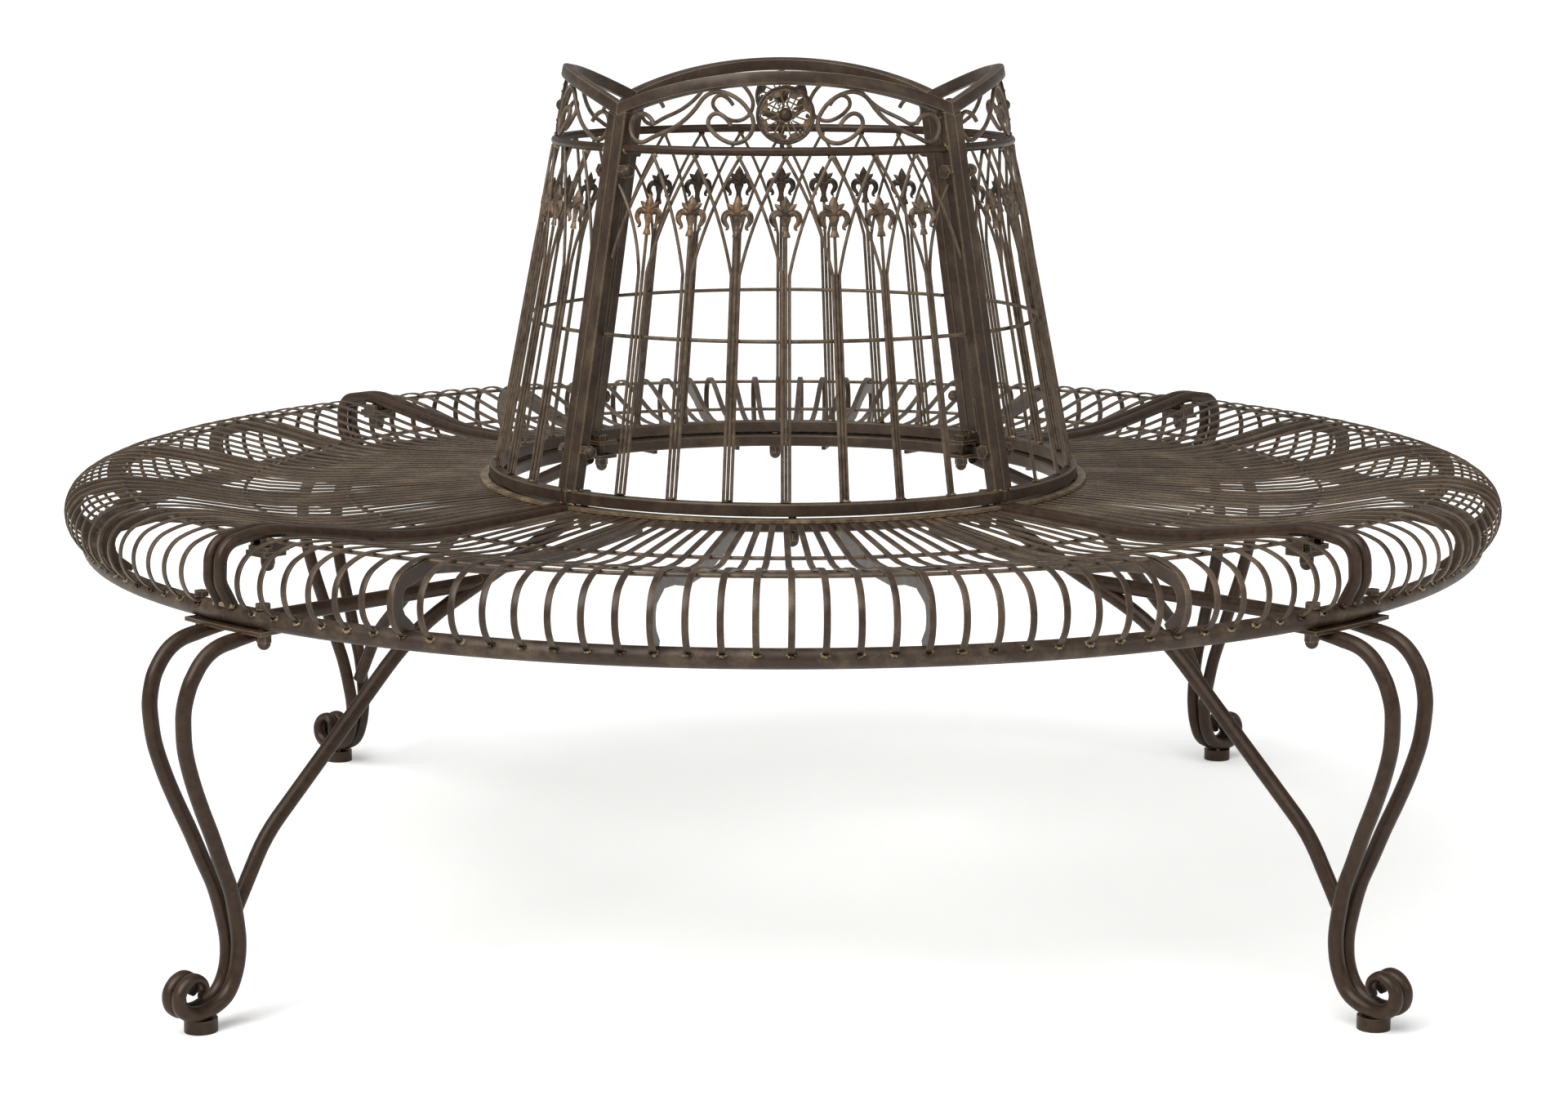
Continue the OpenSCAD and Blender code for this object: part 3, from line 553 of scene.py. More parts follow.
def pasted_cast_iron(name, recess, pewter, copper, gold):
    """Cast iron ornament, painted dark and rubbed with pewter, copper and gold paste.

    The paste stays on what stands proud, so the ridges are warm and the hollows almost black. The side
    that faces the tree is darkened too, which is painted shade. The hand had more copper on it for some
    castings than for others, and the sand mould leaves a fine rough skin.
    """
    material, tree, place = new_material(name)
    # The grains of moulding sand are about 0.4 mm, too fine to show, so they are drawn coarser.
    sand_size, dab_size, part_size = 1.5, 9, 38
    dabs = add(tree, "ShaderNodeTexNoise", {
        "Vector": place, "Scale": per_mm(dab_size), "Detail": 3.0,
    }).outputs["Fac"]
    sand = add(tree, "ShaderNodeTexNoise", {
        "Vector": place, "Scale": per_mm(sand_size), "Detail": 3.0,
    }).outputs["Fac"]
    open_sky = add(tree, "ShaderNodeAmbientOcclusion", {"Distance": 4 * MM}, samples=4).outputs["AO"]
    proud = add(tree, "ShaderNodeMapRange", {
        "Value": open_sky, "From Min": 0.45, "From Max": 0.95,
    }).outputs[0]
    paste = add(tree, "ShaderNodeMapRange", {
        "Value": dabs, "From Min": 0.32, "From Max": 0.68, "To Min": 0.15,
    }).outputs[0]
    paste_and_shade_cover = add(tree, "ShaderNodeMath", {0: proud, 1: paste}, operation="MULTIPLY").outputs[0]
    # Painted shade: the side that faces the tree is taken towards the hollow colour and loses its gold
    normal = add(tree, "ShaderNodeNewGeometry").outputs["Normal"]
    level = add(tree, "ShaderNodeVectorMath", {0: place, 1: (1, 1, 0)}, operation="MULTIPLY").outputs[0]
    away = add(tree, "ShaderNodeVectorMath", {0: level}, operation="NORMALIZE").outputs[0]
    facing = add(tree, "ShaderNodeVectorMath", {0: normal, 1: away}, operation="DOT_PRODUCT").outputs["Value"]
    painted_inward_shade = add(tree, "ShaderNodeMapRange", {
        "Value": facing, "From Min": -0.3, "From Max": 0.4, "To Min": 0.3,
    }).outputs[0]
    paste_and_shade_cover = add(tree, "ShaderNodeMath", {0: paste_and_shade_cover, 1: painted_inward_shade}, operation="MULTIPLY").outputs[0]
    warmth = add(tree, "ShaderNodeTexNoise", {
        "Vector": place, "Scale": per_mm(part_size), "Detail": 2.0,
    }).outputs["Fac"]
    warmth = add(tree, "ShaderNodeMapRange", {"Value": warmth, "From Min": 0.46, "From Max": 0.74}).outputs[0]
    tint = add(tree, "ShaderNodeMix", {0: warmth, 6: pewter, 7: copper}, data_type="RGBA").outputs[2]
    body = add(tree, "ShaderNodeMix", {0: paste_and_shade_cover, 6: recess, 7: tint}, data_type="RGBA").outputs[2]
    gilt = add(tree, "ShaderNodeMapRange", {
        "Value": sand, "From Min": 0.45, "From Max": 0.65, "To Max": 0.9,
    }).outputs[0]
    gilt = add(tree, "ShaderNodeMath", {0: gilt, 1: warmth}, operation="MULTIPLY").outputs[0]
    gilt = add(tree, "ShaderNodeMath", {0: gilt, 1: paste_and_shade_cover}, operation="MULTIPLY").outputs[0]
    body = add(tree, "ShaderNodeMix", {0: gilt, 6: body, 7: gold}, data_type="RGBA").outputs[2]
    bump = add(tree, "ShaderNodeBump", {"Height": sand, "Distance": 0.3 * MM, "Strength": 0.6}).outputs[0]
    shader = add(tree, "ShaderNodeBsdfPrincipled", {
        "Base Color": body, "Roughness": 0.46, "Metallic": 0.35, "Normal": bump,
    })
    add(tree, "ShaderNodeOutputMaterial", {"Surface": shader.outputs[0]})
    return material


def lacquered_weld(name, paint, weld, rust):
    """Arc weld bead under thin lacquer.

    Bare bead metal shows olive through the lacquer, with rust in spots and paint run over parts of it.
    """
    material, tree, place = new_material(name)
    # A bead's ripples and its specks of rust are about 1 mm, too fine to show, so they are drawn coarser.
    speck_size, run_size = 2.2, 14
    patches = add(tree, "ShaderNodeTexNoise", {
        "Vector": place, "Scale": per_mm(run_size), "Detail": 2.0,
    }).outputs["Fac"]
    spots = add(tree, "ShaderNodeTexNoise", {
        "Vector": place, "Scale": per_mm(speck_size), "Detail": 3.0,
    }).outputs["Fac"]
    bare = add(tree, "ShaderNodeMapRange", {"Value": patches, "From Min": 0.42, "From Max": 0.6}).outputs[0]
    metal = add(tree, "ShaderNodeMix", {0: bare, 6: paint, 7: weld}, data_type="RGBA").outputs[2]
    rusty = add(tree, "ShaderNodeMapRange", {
        "Value": spots, "From Min": 0.55, "From Max": 0.68, "To Max": 0.7,
    }).outputs[0]
    metal = add(tree, "ShaderNodeMix", {0: rusty, 6: metal, 7: rust}, data_type="RGBA").outputs[2]
    bump = add(tree, "ShaderNodeBump", {"Height": spots, "Distance": 0.5 * MM, "Strength": 0.7}).outputs[0]
    shader = add(tree, "ShaderNodeBsdfPrincipled", {
        "Base Color": metal, "Roughness": 0.4, "Metallic": 0.4, "Normal": bump,
    })
    add(tree, "ShaderNodeOutputMaterial", {"Surface": shader.outputs[0]})
    return material


def studio_paper(name, tint):
    """Matt white paper sweep of a photographer's studio.

    It is faintly mottled, and lit a little from behind, so it stays white where the bench shades it.
    """
    material, tree, place = new_material(name)
    sheet_size = 700
    mottle = add(tree, "ShaderNodeTexNoise", {
        "Vector": place, "Scale": per_mm(sheet_size), "Detail": 2.0,
    }).outputs["Fac"]
    shade = add(tree, "ShaderNodeMapRange", {"Value": mottle, "To Min": 0.97, "To Max": 1.0}).outputs[0]
    paper = add(tree, "ShaderNodeVectorMath", {0: tint[:3], "Scale": shade}, operation="SCALE").outputs[0]
    seen = add(tree, "ShaderNodeLightPath").outputs["Is Camera Ray"]
    glow = add(tree, "ShaderNodeMapRange", {"Value": seen, "To Max": 0.2}).outputs[0]
    shader = add(tree, "ShaderNodeBsdfPrincipled", {
        "Base Color": paper, "Roughness": 0.9, "Specular IOR Level": 0.1,
        "Emission Color": tint, "Emission Strength": glow,
    })
    add(tree, "ShaderNodeOutputMaterial", {"Surface": shader.outputs[0]})
    return material


# Enamel of each kind of piece: its colours from the ground coat to the bared corners, and its wear
ENAMELS = {
    "bar": (("bronze", "bronze_warm", "rubbed", "bright"), {"rub": 0.45}),
    "tube": (("bronze", "bronze_warm", "rubbed", "rubbed"),
             {"rub": 0.1, "rough": 0.36, "patch": 70, "shine": 0.3}),
    "rim": (("bronze", "bronze_warm", "rubbed", "rubbed"), {"rub": 0.75, "rough": 0.45, "patch": 32}),
    "wire": (("bronze", "rubbed", "rubbed", "rubbed"), {"rub": 0.7, "rough": 0.38, "patch": 80, "edge": 0.5}),
    "slat": (("bronze", "bronze_warm", "rubbed", "bright"), {"rub": 0.8, "patch": 60, "edge": 0.6}),
    "collar": (("bronze_warm", "rubbed", "bright", "bright"), {"rub": 0.8, "patch": 25}),
    "fastener": (("bronze", "bronze_warm", "rubbed", "bright"), {"rub": 0.7, "patch": 12}),
    "ridge": (("recess", "bronze_warm", "rubbed", "bright"),
              {"rub": 0.6, "rough": 0.35, "patch": 12, "edge": 0.7}),
}


def finish(key):
    """The enamel of a kind of piece, or the material of that name, made once."""
    name = "rubbed_enamel_on_" + key if key in ENAMELS else key
    if name in bpy.data.materials:
        return bpy.data.materials[name]
    colours = settings().colours
    if key in ENAMELS:
        coats, wear = ENAMELS[key]
        return rubbed_enamel(name, *(getattr(colours, coat) for coat in coats), **wear)
    if key == "pasted_cast_iron":
        return pasted_cast_iron(name, colours.recess, colours.rubbed, colours.copper, colours.gold)
    if key == "lacquered_weld":
        return lacquered_weld(name, colours.bronze, colours.weld, colours.rust)
    return studio_paper(name, colours.floor)


# Ornaments, drawn in (out, side, up) round their own origin


def leaf(knots, mirror=False, count=12, front=0.0):
    """A ridged leaf along knots of (side, up, width, depth), as vertices in (out, side, up)."""
    thinnest = 0.3
    line = smooth_line(knots, count)
    path = np.column_stack([np.full(len(line), front), line[:, 0], line[:, 1]])
    verts, faces = sweep(path, LEAF_OUTLINE, (1, 0, 0), np.maximum(line[:, 2:4], thinnest))
    if mirror:
        verts[:, 1] *= -1
    return verts, faces


def finial_solids():
    """Cast lily: foot, stem, collar, hooked side petals with a rib, two small leaves and the middle petal."""
    stem = [(0, 0, 9.6, 6), (0, 1.8, 9.2, 6), (0, 4.6, 7.4, 5), (0, 7.4, 5.6, 4.4), (0, 8.6, 6.6, 5.6),
            (0, 9.8, 5.6, 4.4), (0, 14, 7.6, 4.6), (0, 19, 11, 5), (0, 24, 10, 5)]
    collar = [(-7.4, 21.6, 2.6, 5), (-5, 22.4, 3.2, 6.4), (0, 22.6, 3.4, 7), (5, 22.4, 3.2, 6.4),
              (7.4, 21.6, 2.6, 5)]
    middle = [(0, 22, 6, 5), (0, 26, 9.6, 6.4), (0, 31, 11, 6.8), (0, 36, 8, 5.4), (0, 42, 0.6, 1)]
    side = [(1.5, 20.5, 5, 4), (5.2, 24.2, 6.2, 5), (9.6, 24.6, 6.8, 5.6), (12.8, 21.8, 7, 5.8),
            (13.6, 17.4, 6.2, 5.2), (11.8, 13.6, 5.2, 4.4), (9.8, 11, 4.2, 3.8), (9.8, 8.6, 3.2, 3.2),
            (11.8, 7.3, 1.4, 2)]
    rib = [(6, 25.2, 1.2, 2.4), (10.2, 25.6, 1.6, 3), (13.8, 22.4, 1.6, 3), (14.6, 17.4, 1.4, 2.8),
           (12.4, 14, 0.9, 1.8)]
    small = [(2, 26, 4, 4.4), (5.6, 29.2, 5.8, 4.6), (8.8, 31.8, 4.2, 3.2), (11.2, 33.8, 0.6, 1)]
    rib_front = 1.6
    solids = [leaf(stem, count=20), leaf(collar, count=9), leaf(middle, count=14)]
    for mirror in (False, True):
        solids.append(leaf(side, mirror, 20))
        solids += [leaf(rib, mirror, 14, front) for front in (rib_front, -rib_front)]
        solids.append(leaf(small, mirror, 9))
    return solids


def ring_solid(radius, d, front=0.0):
    """A closed wire ring in the (side, up) plane."""
    sides, steps = 10, 64
    outline = round_outline(d, sides)
    verts = []
    for i in range(steps):
        a = 2 * math.pi * i / steps
        verts += [(front + y, (radius + x) * math.sin(a), (radius + x) * math.cos(a)) for x, y in outline]
    return np.array(verts), skin(steps, sides, closed=True)


def turned_in_plane(points, degrees):
    """Points (side, up) turned clockwise, as seen from outside."""
    a = math.radians(degrees)
    return [(x * math.cos(a) + y * math.sin(a), y * math.cos(a) - x * math.sin(a)) for x, y in points]


def pear_side(neck, middle, bulge):
    """Right side of a pear-shaped opening, from its neck to its outer end."""
    neck_half, count = 0.8, 6
    slope = math.asin((bulge - neck_half) / (middle - neck))
    start = (bulge * math.cos(slope), middle - bulge * math.sin(slope))
    straight = [(neck_half + (start[0] - neck_half) * i / count, neck + (start[1] - neck) * i / count)
                for i in range(count)]
    turns = np.linspace(-slope, math.pi / 2, count + 3)
    return straight + [(bulge * math.cos(a), middle + bulge * math.sin(a)) for a in turns]


def rosette_solids():
    """Pierced casting, as its ridges and its plates.

    Ridges are the double rim, eight pear-shaped wire loops on each face, a knob in every loop, a bead
    between their necks and the disc under the boss. Plates are the webs between the loops' outer ends
    and the curl in every loop.
    """
    back = settings().back
    radius, rim = mm(back.rosette_r), mm(back.rim_d)
    inner = radius - rim
    petals = 8
    bulge, middle, neck = 4.7, inner - 5.9, 8.4
    web_half, web_from = 0.9, 18.5
    loop_front, raised = 1.0, 0.8
    wire = round_outline(1.5, 6)
    ridges = [ring_solid(radius - rim / 2, rim), ring_solid(inner - 1.4, 1.4, raised)]
    plates = []
    right = pear_side(neck, middle, bulge)
    left = [(-x, y) for x, y in right]
    outer = [i for i, p in enumerate(right) if p[1] > web_from]
    curl = [(-3.9, middle + 1.2), (-1.6, middle + 4.2), (1.9, middle + 3.4), (2.6, middle + 0.4),
            (0.6, middle - 0.4)]
    knob, knob_front = ball((2.0, 2.0, 2.0)), 0.9
    bead = ball((1.9, 1.5, 1.5), 5, 8)
    for k in range(petals):
        turn = 360 / petals * k
        outline = turned_in_plane(left[:-1] + right[::-1], turn)
        for front in (loop_front, -loop_front):
            ridges.append(sweep([(front, x, y) for x, y in outline], wire, (1, 0, 0)))
        this_side = turned_in_plane(right, turn)
        next_side = turned_in_plane(left, turn + 360 / petals)
        plates.append(web([this_side[i] for i in outer], [next_side[i] for i in outer], inner, web_half))
        line = smooth_line(turned_in_plane(curl, turn), 12)
        plates.append(sweep([(raised, x, y) for x, y in line], wire, (1, 0, 0)))
        knob_place = turned_in_plane([(0.5, middle + 1.0)], turn)[0]
        ridges.append((knob[0] + np.array([knob_front, *knob_place]), knob[1]))
        bead_place = turned_in_plane([(0, neck - 0.3)], turn + 180 / petals)[0]
        ridges.append((bead[0] + np.array([raised, *bead_place]), bead[1]))
    disc = [(-1.4, 0, 0), (-1.39, 0, 0), (1.7, 0, 0), (1.71, 0, 0)]
    widths = [(0.01, 0.01), (15.4, 15.4), (14.8, 14.8), (0.01, 0.01)]
    ridges.append(sweep(disc, round_outline(1.0, 32), (0, 0, 1), widths))
    return ridges, plates


def web(this_side, next_side, rim, half):
    """Plate between the sides of two neighbouring openings, out to the rim and half thick each way."""
    steps = 6
    flat = []
    for i, (p, q) in enumerate(zip(this_side, next_side)):
        share = (i / (len(this_side) - 1)) ** 4
        for j in range(steps + 1):
            x = p[0] + (q[0] - p[0]) * j / steps
            y = p[1] + (q[1] - p[1]) * j / steps
            grow = 1 + share * (rim / math.hypot(x, y) - 1)
            flat.append((x * grow, y * grow))
    n, m = len(this_side), steps + 1
    verts = [(half, x, y) for x, y in flat] + [(-half, x, y) for x, y in flat]
    faces = []
    for i in range(n - 1):
        for j in range(steps):
            quad = (i * m + j, i * m + j + 1, (i + 1) * m + j + 1, (i + 1) * m + j)
            faces += [quad, tuple(n * m + v for v in quad[::-1])]
    border = (list(range(m)) + [i * m + steps for i in range(1, n)]
              + [(n - 1) * m + j for j in range(steps - 1, -1, -1)] + [i * m for i in range(n - 2, 0, -1)])
    for u, v in zip(border, border[1:] + border[:1]):
        faces.append((v, u, n * m + u, n * m + v))
    return np.array(verts), faces


def boss_solid():
    """Domed boss of a rosette, a little wider and higher than the frame's."""
    boss_r = mm(settings().back.boss_d) / 2
    wider, higher = 1.12, 0.6
    return ball((boss_r + higher, wider * boss_r, wider * boss_r), 12, 24)


# Weld beads, whose places and three radii are in millimetres


def lumpy_bead(shape, place, radii, axes, rng):
    """Adds a lumpy bead at a place, with its three radii along three axes."""
    lump = 0.22
    verts, faces = ball(radii, 5, 8)
    lumps = 1 + np.array([rng.uniform(-lump, lump) for _ in verts])
    shape.add(placed(verts * lumps[:, None], place, *axes), faces)


def slat_foot_welds(shape, quarter_az, rng):
    """A ring of small beads round each slat's foot on the outer ring."""
    seat = settings().seat
    foot_r, foot_z = seat_line()[-1]
    turns, turn_play = (-70, -20, 30, 90, 150, 205, 250), 14
    small, large, longer = 0.9, 1.7, 0.5
    ring_out, ring_drop = 0.4, 0.9
    reach_in, reach_up, reach_side = 1.6, 1.9, mm(seat.slat_w) / 2 + 0.4
    for az in slat_azimuths():
        place = quarter_az + az
        axes = level_axes(place)
        for turn in turns:
            a = math.radians(turn + rng.uniform(-turn_play, turn_play))
            size = rng.uniform(small, large)
            r = foot_r + ring_out - reach_in * math.sin(a)
            spot = radial(place, r, foot_z - ring_drop + reach_up * math.sin(a))
            spot = spot + reach_side * math.cos(a) * axes[1]
            lumpy_bead(shape, spot, (size, size + longer, size), axes, rng)


def end_rib_welds(shape, corner, side, rng):
    """Beads where an end rib lands on the outer ring and on the inner one."""
    seat = settings().seat
    axes = level_axes(corner)
    off = -side * mm(seat.end_rib_off)
    outside_ring, over_ring, bead_pitch = 8, 9, 5
    outer = radial(corner, mm(seat.ring_r) + outside_ring, mm(seat.ring_z) + over_ring)
    for step in (-1, 0, 1):
        lumpy_bead(shape, outer + (off + bead_pitch * step) * axes[1], (3.2, 3.4, 2.6), axes, rng)
    outside_end, over_end = 2, 4
    inner = radial(corner, mm(seat.inner_r) + outside_end, mm(seat.inner_z) + over_end)
    lumpy_bead(shape, inner + off * axes[1], (3.5, 5, 2.5), axes, rng)


def post_welds(shape, corner, side, rng):
    """Beads on a post: under the crest rail, at the round rail and round its foot."""
    back = settings().back
    axes = level_axes(corner)
    post_off, rail_off, under_crest, rail_play = 6.8, 14, 9, 3
    head_z = crest_z(45) - under_crest
    head = radial(corner, back_r(head_z), head_z) - side * post_off * axes[1]
    for _ in range(5):
        shift = np.array([rng.uniform(-5, 5), rng.uniform(-5, 5), rng.uniform(-2, 3)])
        lumpy_bead(shape, head + shift, (3, 3, 2.4), axes, rng)
    rail = on_back(corner, mm(back.top_rail_z)) - side * rail_off * axes[1]
    for _ in range(3):
        shift = np.array([rng.uniform(-rail_play, rail_play) for _ in range(3)])
        lumpy_bead(shape, rail + shift, (3.4, 3, 3.4), axes, rng)
    foot = radial(corner, mm(back.base_r), mm(back.base_z) + mm(back.bar) / 2) - side * post_off * axes[1]
    foot_ring_r, beads = 6.4, 6
    for i in range(beads):
        a = 2 * math.pi / beads * i
        spot = foot + foot_ring_r * math.cos(a) * axes[0] + foot_ring_r * math.sin(a) * axes[1]
        lumpy_bead(shape, spot, (2.2, 2.2, 1.6), axes, rng)


def spindle_welds(shape, quarter_az, rng):
    """Beads at the top and at the foot of each spindle."""
    back = settings().back
    under_rail, over_base = 1.2, 0.8
    for az in spindle_azimuths():
        place = quarter_az + az
        axes = back_axes(place)
        top = on_back(place, mm(back.top_rail_z) - mm(back.top_rail_d) / 2 - under_rail)
        lumpy_bead(shape, top, (3.2, 3.6, 2.6), axes, rng)
        foot = on_back(place, mm(back.base_z) + mm(back.bar) / 2 + over_base)
        lumpy_bead(shape, foot, (3.4, 6, 1.8), axes, rng)


def rosette_welds(shape, quarter_az, rng):
    """Beads that hold a rosette to the round rail and to the crest rail."""
    radius = mm(settings().back.rosette_r)
    middle, axes = on_back(quarter_az, rosette_z()), back_axes(quarter_az)
    below, above, sideways = 1.5, 1.2, 4
    for reach in (-radius - below, radius + above):
        for _ in range(3):
            spot = middle + reach * axes[2] + rng.uniform(-sideways, sideways) * axes[1]
            lumpy_bead(shape, spot, (2.8, 2.6, 2.4), axes, rng)


def foot_welds(shape, corner, rng):
    """Beads between a foot pad and the two legs on it."""
    legs = settings().legs
    axes = level_axes(corner)
    off, over_pad = 6, 1
    for side in (-1, 1):
        for shift in (-6, 0, 7):
            spot = radial(corner, mm(legs.foot_r) + shift, mm(legs.pad_h) + over_pad) + off * side * axes[1]
            lumpy_bead(shape, spot, (3.4, 3, 2), axes, rng)


# Operators, one for each piece or group of like pieces


class BENCH_OT_stage(bpy.types.Operator):
    """Makes the floor, the studio lights and the camera that has the photograph's view."""
    bl_idname = "bench.stage"
    bl_label = "Floor, lights and camera"

    def execute(self, context):
        scene = context.scene
        scene.view_settings.view_transform = "Standard"
        self.make_floor(scene)
        self.make_lights(scene)
        self.make_camera(scene)
        return {"FINISHED"}

    def make_floor(self, scene):
        """Lays white paper that reaches past every view."""
        half = 200.0
        corners = [(-half, -half, 0), (half, -half, 0), (half, half, 0), (-half, half, 0)]
        mesh = bpy.data.meshes.new("studio_floor")
        mesh.from_pydata(corners, [], [(0, 1, 2, 3)])
        mesh.materials.append(finish("studio_paper"))
        floor = bpy.data.objects.new("studio_floor", mesh)
        scene.collection.objects.link(floor)

    def make_lights(self, scene):
        """Hangs a wide ceiling light, a key light and a fill light in white air."""
        air_light, air_seen = 0.4, 1.0
        world = bpy.data.worlds.new("studio_air")
        scene.world = world
        world.use_nodes = True
        tree = world.node_tree
        air = tree.nodes["Background"]
        air.inputs["Color"].default_value = linear("#FFFFFF")
        seen = add(tree, "ShaderNodeLightPath").outputs["Is Camera Ray"]
        strength = add(tree, "ShaderNodeMapRange", {"Value": seen, "To Min": air_light, "To Max": air_seen})
        tree.links.new(strength.outputs[0], air.inputs["Strength"])
        sky = bpy.data.lights.new("ceiling_softbox", "SUN")
        sky.energy = 2.65
        sky.angle = math.radians(55)
        ceiling = bpy.data.objects.new("ceiling_softbox", sky)
        ceiling.rotation_euler = Vector((0.35, 0.45, -1)).to_track_quat("-Z", "Y").to_euler()
        scene.collection.objects.link(ceiling)
        seat_height = Vector((0, 0, 0.45))
        for name, place, size, power in (
            ("key_softbox", (-2.6, -3.2, 3.4), 1.6, 60),
            ("fill_softbox", (3.4, -2.6, 2.4), 1.2, 25),
        ):
            light = bpy.data.lights.new(name, "AREA")
            light.energy = power
            light.size = size
            lamp = bpy.data.objects.new(name, light)
            lamp.location = place
            lamp.rotation_euler = (seat_height - Vector(place)).to_track_quat("-Z", "Y").to_euler()
            scene.collection.objects.link(lamp)

    def make_camera(self, scene):
        """Stands the camera where the photograph was taken."""
        yaw, pitch, roll = 0.009871, 0.1707814, 0.00085
        focal_px, width_px, sensor = 4210.593, 1920, 36.0
        forward = Vector((math.sin(yaw) * math.cos(pitch), math.cos(yaw) * math.cos(pitch), -math.sin(pitch)))
        camera = bpy.data.cameras.new("photo_camera")
        camera.sensor_width = sensor
        camera.lens = focal_px / width_px * sensor
        camera.clip_end = 500
        view = bpy.data.objects.new("photo_camera", camera)
        view.location = (-0.035344, -3.689411, 1.003494)
        level = forward.to_track_quat("-Z", "Y").to_matrix()
        view.rotation_euler = (level @ Matrix.Rotation(roll, 3, "Z")).to_euler()
        scene.collection.objects.link(view)
        scene.camera = view


class BENCH_OT_frame_finish(bpy.types.Operator):
    """Paints the frame's own bars, tubes, wires and fasteners."""
    bl_idname = "bench.frame_finish"
    bl_label = "Paint on the frame"

    def execute(self, context):
        kinds = {
            "seat_outer_ring": "rim", "seat_end_ribs": "tube", "braces": "tube", "struts": "tube",
            "top_rails": "tube", "seat_hoops": "wire", "waist_wires": "wire", "back_spindles": "wire",
            "back_lattice": "wire", "collar_strips": "collar", "bolts": "fastener", "cap_nuts": "fastener",
            "panel_studs": "fastener", "foot_pads": "tube",
        }
        for name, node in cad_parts.items():
            kind = next((k for start, k in kinds.items() if name.startswith(start)), "bar")
            node.data.materials.clear()
            node.data.materials.append(finish(kind))
        return {"FINISHED"}


class BENCH_OT_slats(bpy.types.Operator):
    """Bends the slats of the seat, a little uneven as rolled by hand."""
    bl_idname = "bench.slats"
    bl_label = "Seat slats"
    seed: IntProperty(name="Seed", description="Seed of the slats' unevenness", default=11)

    def execute(self, context):
        seat = settings().seat
        line = seat_line()
        outline = soft_outline(mm(seat.slat_w), mm(seat.slat_t), mm(seat.slat_edge))
        rng = random.Random(self.seed)
        most_sway, most_lift = 0.6, 0.25
        bow = [math.sin(math.pi * i / (len(line) - 1)) for i in range(len(line))]
        for k, quarter in enumerate(QUARTERS):
            shape = Shape()
            for az in slat_azimuths():
                place = 90 * k + az
                sway, lift = rng.uniform(-most_sway, most_sway), rng.uniform(-most_lift, most_lift)
                points = [radial(place, r, z + lift * share) + sway * share * across(place)
                          for (r, z), share in zip(line, bow)]
                shape.add(*sweep(points, outline, UP))
            shape.piece("slats_" + quarter, finish("slat"), "wrought_iron", ["seat_slats_" + quarter])
        return {"FINISHED"}


class BENCH_OT_crest_rails(bpy.types.Operator):
    """Makes the arched crest rails, mitred where two quarters meet."""
    bl_idname = "bench.crest_rails"
    bl_label = "Crest rails"

    def execute(self, context):
        back = settings().back
        outline = soft_outline(mm(back.bar), mm(back.bar), mm(back.bar_edge))
        steps, nudge = 48, 0.01
        for k, quarter in enumerate(QUARTERS):
            rows = []
            for i in range(steps + 1):
                az = -45 + 90 * i / steps
                place = 90 * k + az
                ahead, behind = crest_z(az + nudge), crest_z(az - nudge)
                t = unit(on_back(place + nudge, ahead) - on_back(place - nudge, behind))
                out = back_axes(place)[0]
                up = np.cross(out, t)
                row = np.array([on_back(place, crest_z(az)) + x * out + y * up for x, y in outline])
                if i in (0, steps):
                    m = across(place)
                    gap = TOUCH / 2 if i == 0 else -TOUCH / 2
                    row = np.array([p + t * ((gap - p @ m) / (t @ m)) for p in row])
                rows.append(row)
            shape = Shape()
            shape.add(np.vstack(rows), skin(steps + 1, len(outline)))
            shape.piece("crest_rail_" + quarter, finish("bar"), "wrought_iron",
                        ["back_crest_rail_" + quarter])
        return {"FINISHED"}


class BENCH_OT_scrolls(bpy.types.Operator):
    """Bends the wire scrolls beside the rosettes."""
    bl_idname = "bench.scrolls"
    bl_label = "Scrolls"

    def execute(self, context):
        outline = round_outline(mm(settings().back.scroll_d))
        line = scroll_line()
        shape = Shape()
        for k in range(len(QUARTERS)):
            turn = np.array(Matrix.Rotation(math.radians(90 * k), 3, "Z"))
            for mirror in (1, -1):
                path = (line * np.array([mirror, 1, 1])) @ turn.T
                shape.add(*sweep(path, outline, path[0] * np.array([1, 1, 0])))
        shape.piece("wire_scrolls", finish("wire"), "wrought_iron", ["scrolls"])
        return {"FINISHED"}


class BENCH_OT_finials(bpy.types.Operator):
    """Casts the lily finials on the spindles."""
    bl_idname = "bench.finials"
    bl_label = "Finials"

    def execute(self, context):
        z = mm(settings().back.finial_z)
        solids = finial_solids()
        shape = Shape()
        for k in range(len(QUARTERS)):
            for az in spindle_azimuths():
                place = 90 * k + az
                shape.add_placed(solids, on_back(place, z), back_axes(place))
        shape.piece("lily_finials", finish("pasted_cast_iron"), "cast_ornament", ["finials"], sharp=50)
        return {"FINISHED"}


class BENCH_OT_rosettes(bpy.types.Operator):
    """Casts the pierced rosettes and their bosses."""
    bl_idname = "bench.rosettes"
    bl_label = "Rosettes"

    def execute(self, context):
        ridges, plates = rosette_solids()
        for k, quarter in enumerate(QUARTERS):
            place, axes = on_back(90 * k, rosette_z()), back_axes(90 * k)
            shape, webs, boss = Shape(), Shape(), Shape()
            shape.add_placed(ridges, place, axes)
            webs.add_placed(plates, place, axes)
            boss.add_placed([boss_solid()], place, axes)
            shape.piece("rosette_" + quarter, finish("ridge"), "cast_ornament", ["rosettes"], sharp=50)
            webs.piece("rosette_web_" + quarter, finish("pasted_cast_iron"), "cast_ornament", sharp=50)
            boss.piece("rosette_boss_" + quarter, finish("tube"), "cast_ornament")
        return {"FINISHED"}


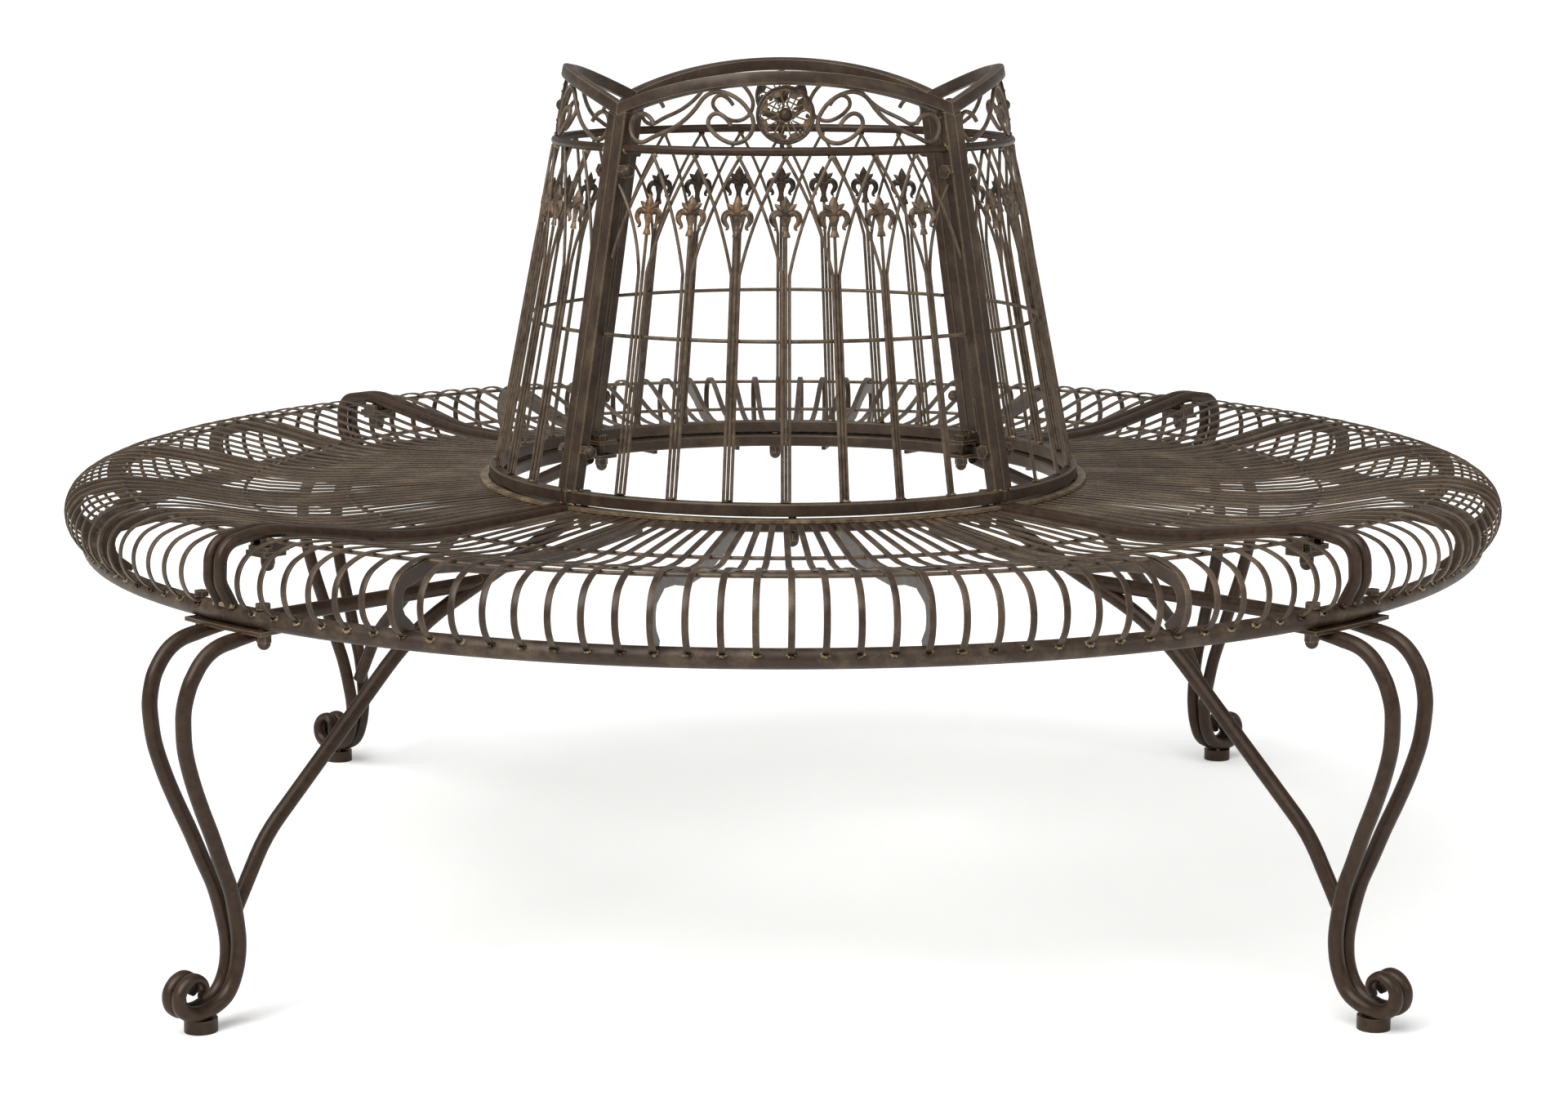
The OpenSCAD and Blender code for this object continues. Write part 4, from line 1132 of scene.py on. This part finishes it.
class BENCH_OT_legs(bpy.types.Operator):
    """Bends the leg tubes, which are hammered thin towards the curled tips."""
    bl_idname = "bench.legs"
    bl_label = "Legs"
    flat_run: length("Length of the hammered end", 66)
    tip_run: length("Length of the rounded tip", 9)
    top_run: length("Length of the flattened end under the plate", 34)

    def execute(self, context):
        outline = round_outline(mm(settings().legs.tube_d), 20)
        # Shares of the tube's width and height that are left at the tip and under the plate
        tip_width, tip_height, top_height = 0.42, 0.32, 0.5
        for k, quarter in enumerate(QUARTERS):
            shape = Shape()
            for side in (-1, 1):
                line = leg_line(side)
                path = [corner_point(90 * k + 45 * side, p) for p in line]
                along = np.concatenate([[0], np.cumsum(np.linalg.norm(np.diff(line, axis=0), axis=1))])
                left = along[-1] - along
                flat = np.minimum(left / mm(self.flat_run), 1)
                tip = np.minimum(left / mm(self.tip_run), 1)
                top = np.minimum(along / mm(self.top_run), 1)
                widths = tip_width + (1 - tip_width) * np.sqrt(1 - (1 - tip) ** 2)
                heights = tip_height + (1 - tip_height) * flat ** 1.1
                heights *= top_height + (1 - top_height) * top
                shape.add(*sweep(path, outline, UP, np.column_stack([widths, heights])))
            shape.piece("leg_tubes_" + quarter, finish("tube"), "wrought_iron", ["legs_" + quarter])
        return {"FINISHED"}


class BENCH_OT_welds(bpy.types.Operator):
    """Lays weld beads where pieces of the bench are joined."""
    bl_idname = "bench.welds"
    bl_label = "Weld beads"
    seed: IntProperty(name="Seed", description="Seed of the beads' lumps", default=7)

    def execute(self, context):
        rng = random.Random(self.seed)
        for k, quarter in enumerate(QUARTERS):
            seat, back = Shape(), Shape()
            slat_foot_welds(seat, 90 * k, rng)
            for side in (-1, 1):
                end_rib_welds(seat, 90 * k + 45 * side, side, rng)
                post_welds(back, 90 * k + 45 * side, side, rng)
            spindle_welds(back, 90 * k, rng)
            rosette_welds(back, 90 * k, rng)
            seat.piece("seat_welds_" + quarter, finish("lacquered_weld"), "wrought_iron")
            back.piece("back_welds_" + quarter, finish("lacquered_weld"), "wrought_iron")
        feet = Shape()
        for k in range(len(QUARTERS)):
            foot_welds(feet, 90 * k + 45, rng)
        feet.piece("foot_welds", finish("lacquered_weld"), "wrought_iron")
        return {"FINISHED"}


class BENCH_PT_sidebar(bpy.types.Panel):
    """Lists the bench's settings and the operators that make its pieces."""
    bl_idname = "BENCH_PT_sidebar"
    bl_label = "Tree Bench"
    bl_space_type = "VIEW_3D"
    bl_region_type = "UI"
    bl_category = "Tree Bench"

    def draw(self, context):
        for name in ("seat", "back", "legs", "colours"):
            box = self.layout.box()
            box.label(text=name.capitalize())
            group = getattr(context.scene.bench, name)
            for key in group.__annotations__:
                box.prop(group, key)
        for operator in OPERATORS:
            self.layout.operator(operator.bl_idname)


OPERATORS = (
    BENCH_OT_stage,
    BENCH_OT_frame_finish,
    BENCH_OT_slats,
    BENCH_OT_crest_rails,
    BENCH_OT_scrolls,
    BENCH_OT_finials,
    BENCH_OT_rosettes,
    BENCH_OT_legs,
    BENCH_OT_welds,
)
CLASSES = (
    BenchSeatSizes, BenchBackSizes, BenchLegSizes, BenchColours, BenchSettings,
    *OPERATORS, BENCH_PT_sidebar,
)


def register():
    """Registers the classes and puts the settings on the scene."""
    for cls in CLASSES:
        bpy.utils.register_class(cls)
    bpy.types.Scene.bench = PointerProperty(type=BenchSettings)


def unregister():
    """Takes the settings and the classes away again."""
    del bpy.types.Scene.bench
    for cls in reversed(CLASSES):
        bpy.utils.unregister_class(cls)


def main():
    """Makes every piece in order."""
    register()
    for operator in OPERATORS:
        group, name = operator.bl_idname.split(".")
        getattr(getattr(bpy.ops, group), name)()


if __name__ == "__main__":
    main()
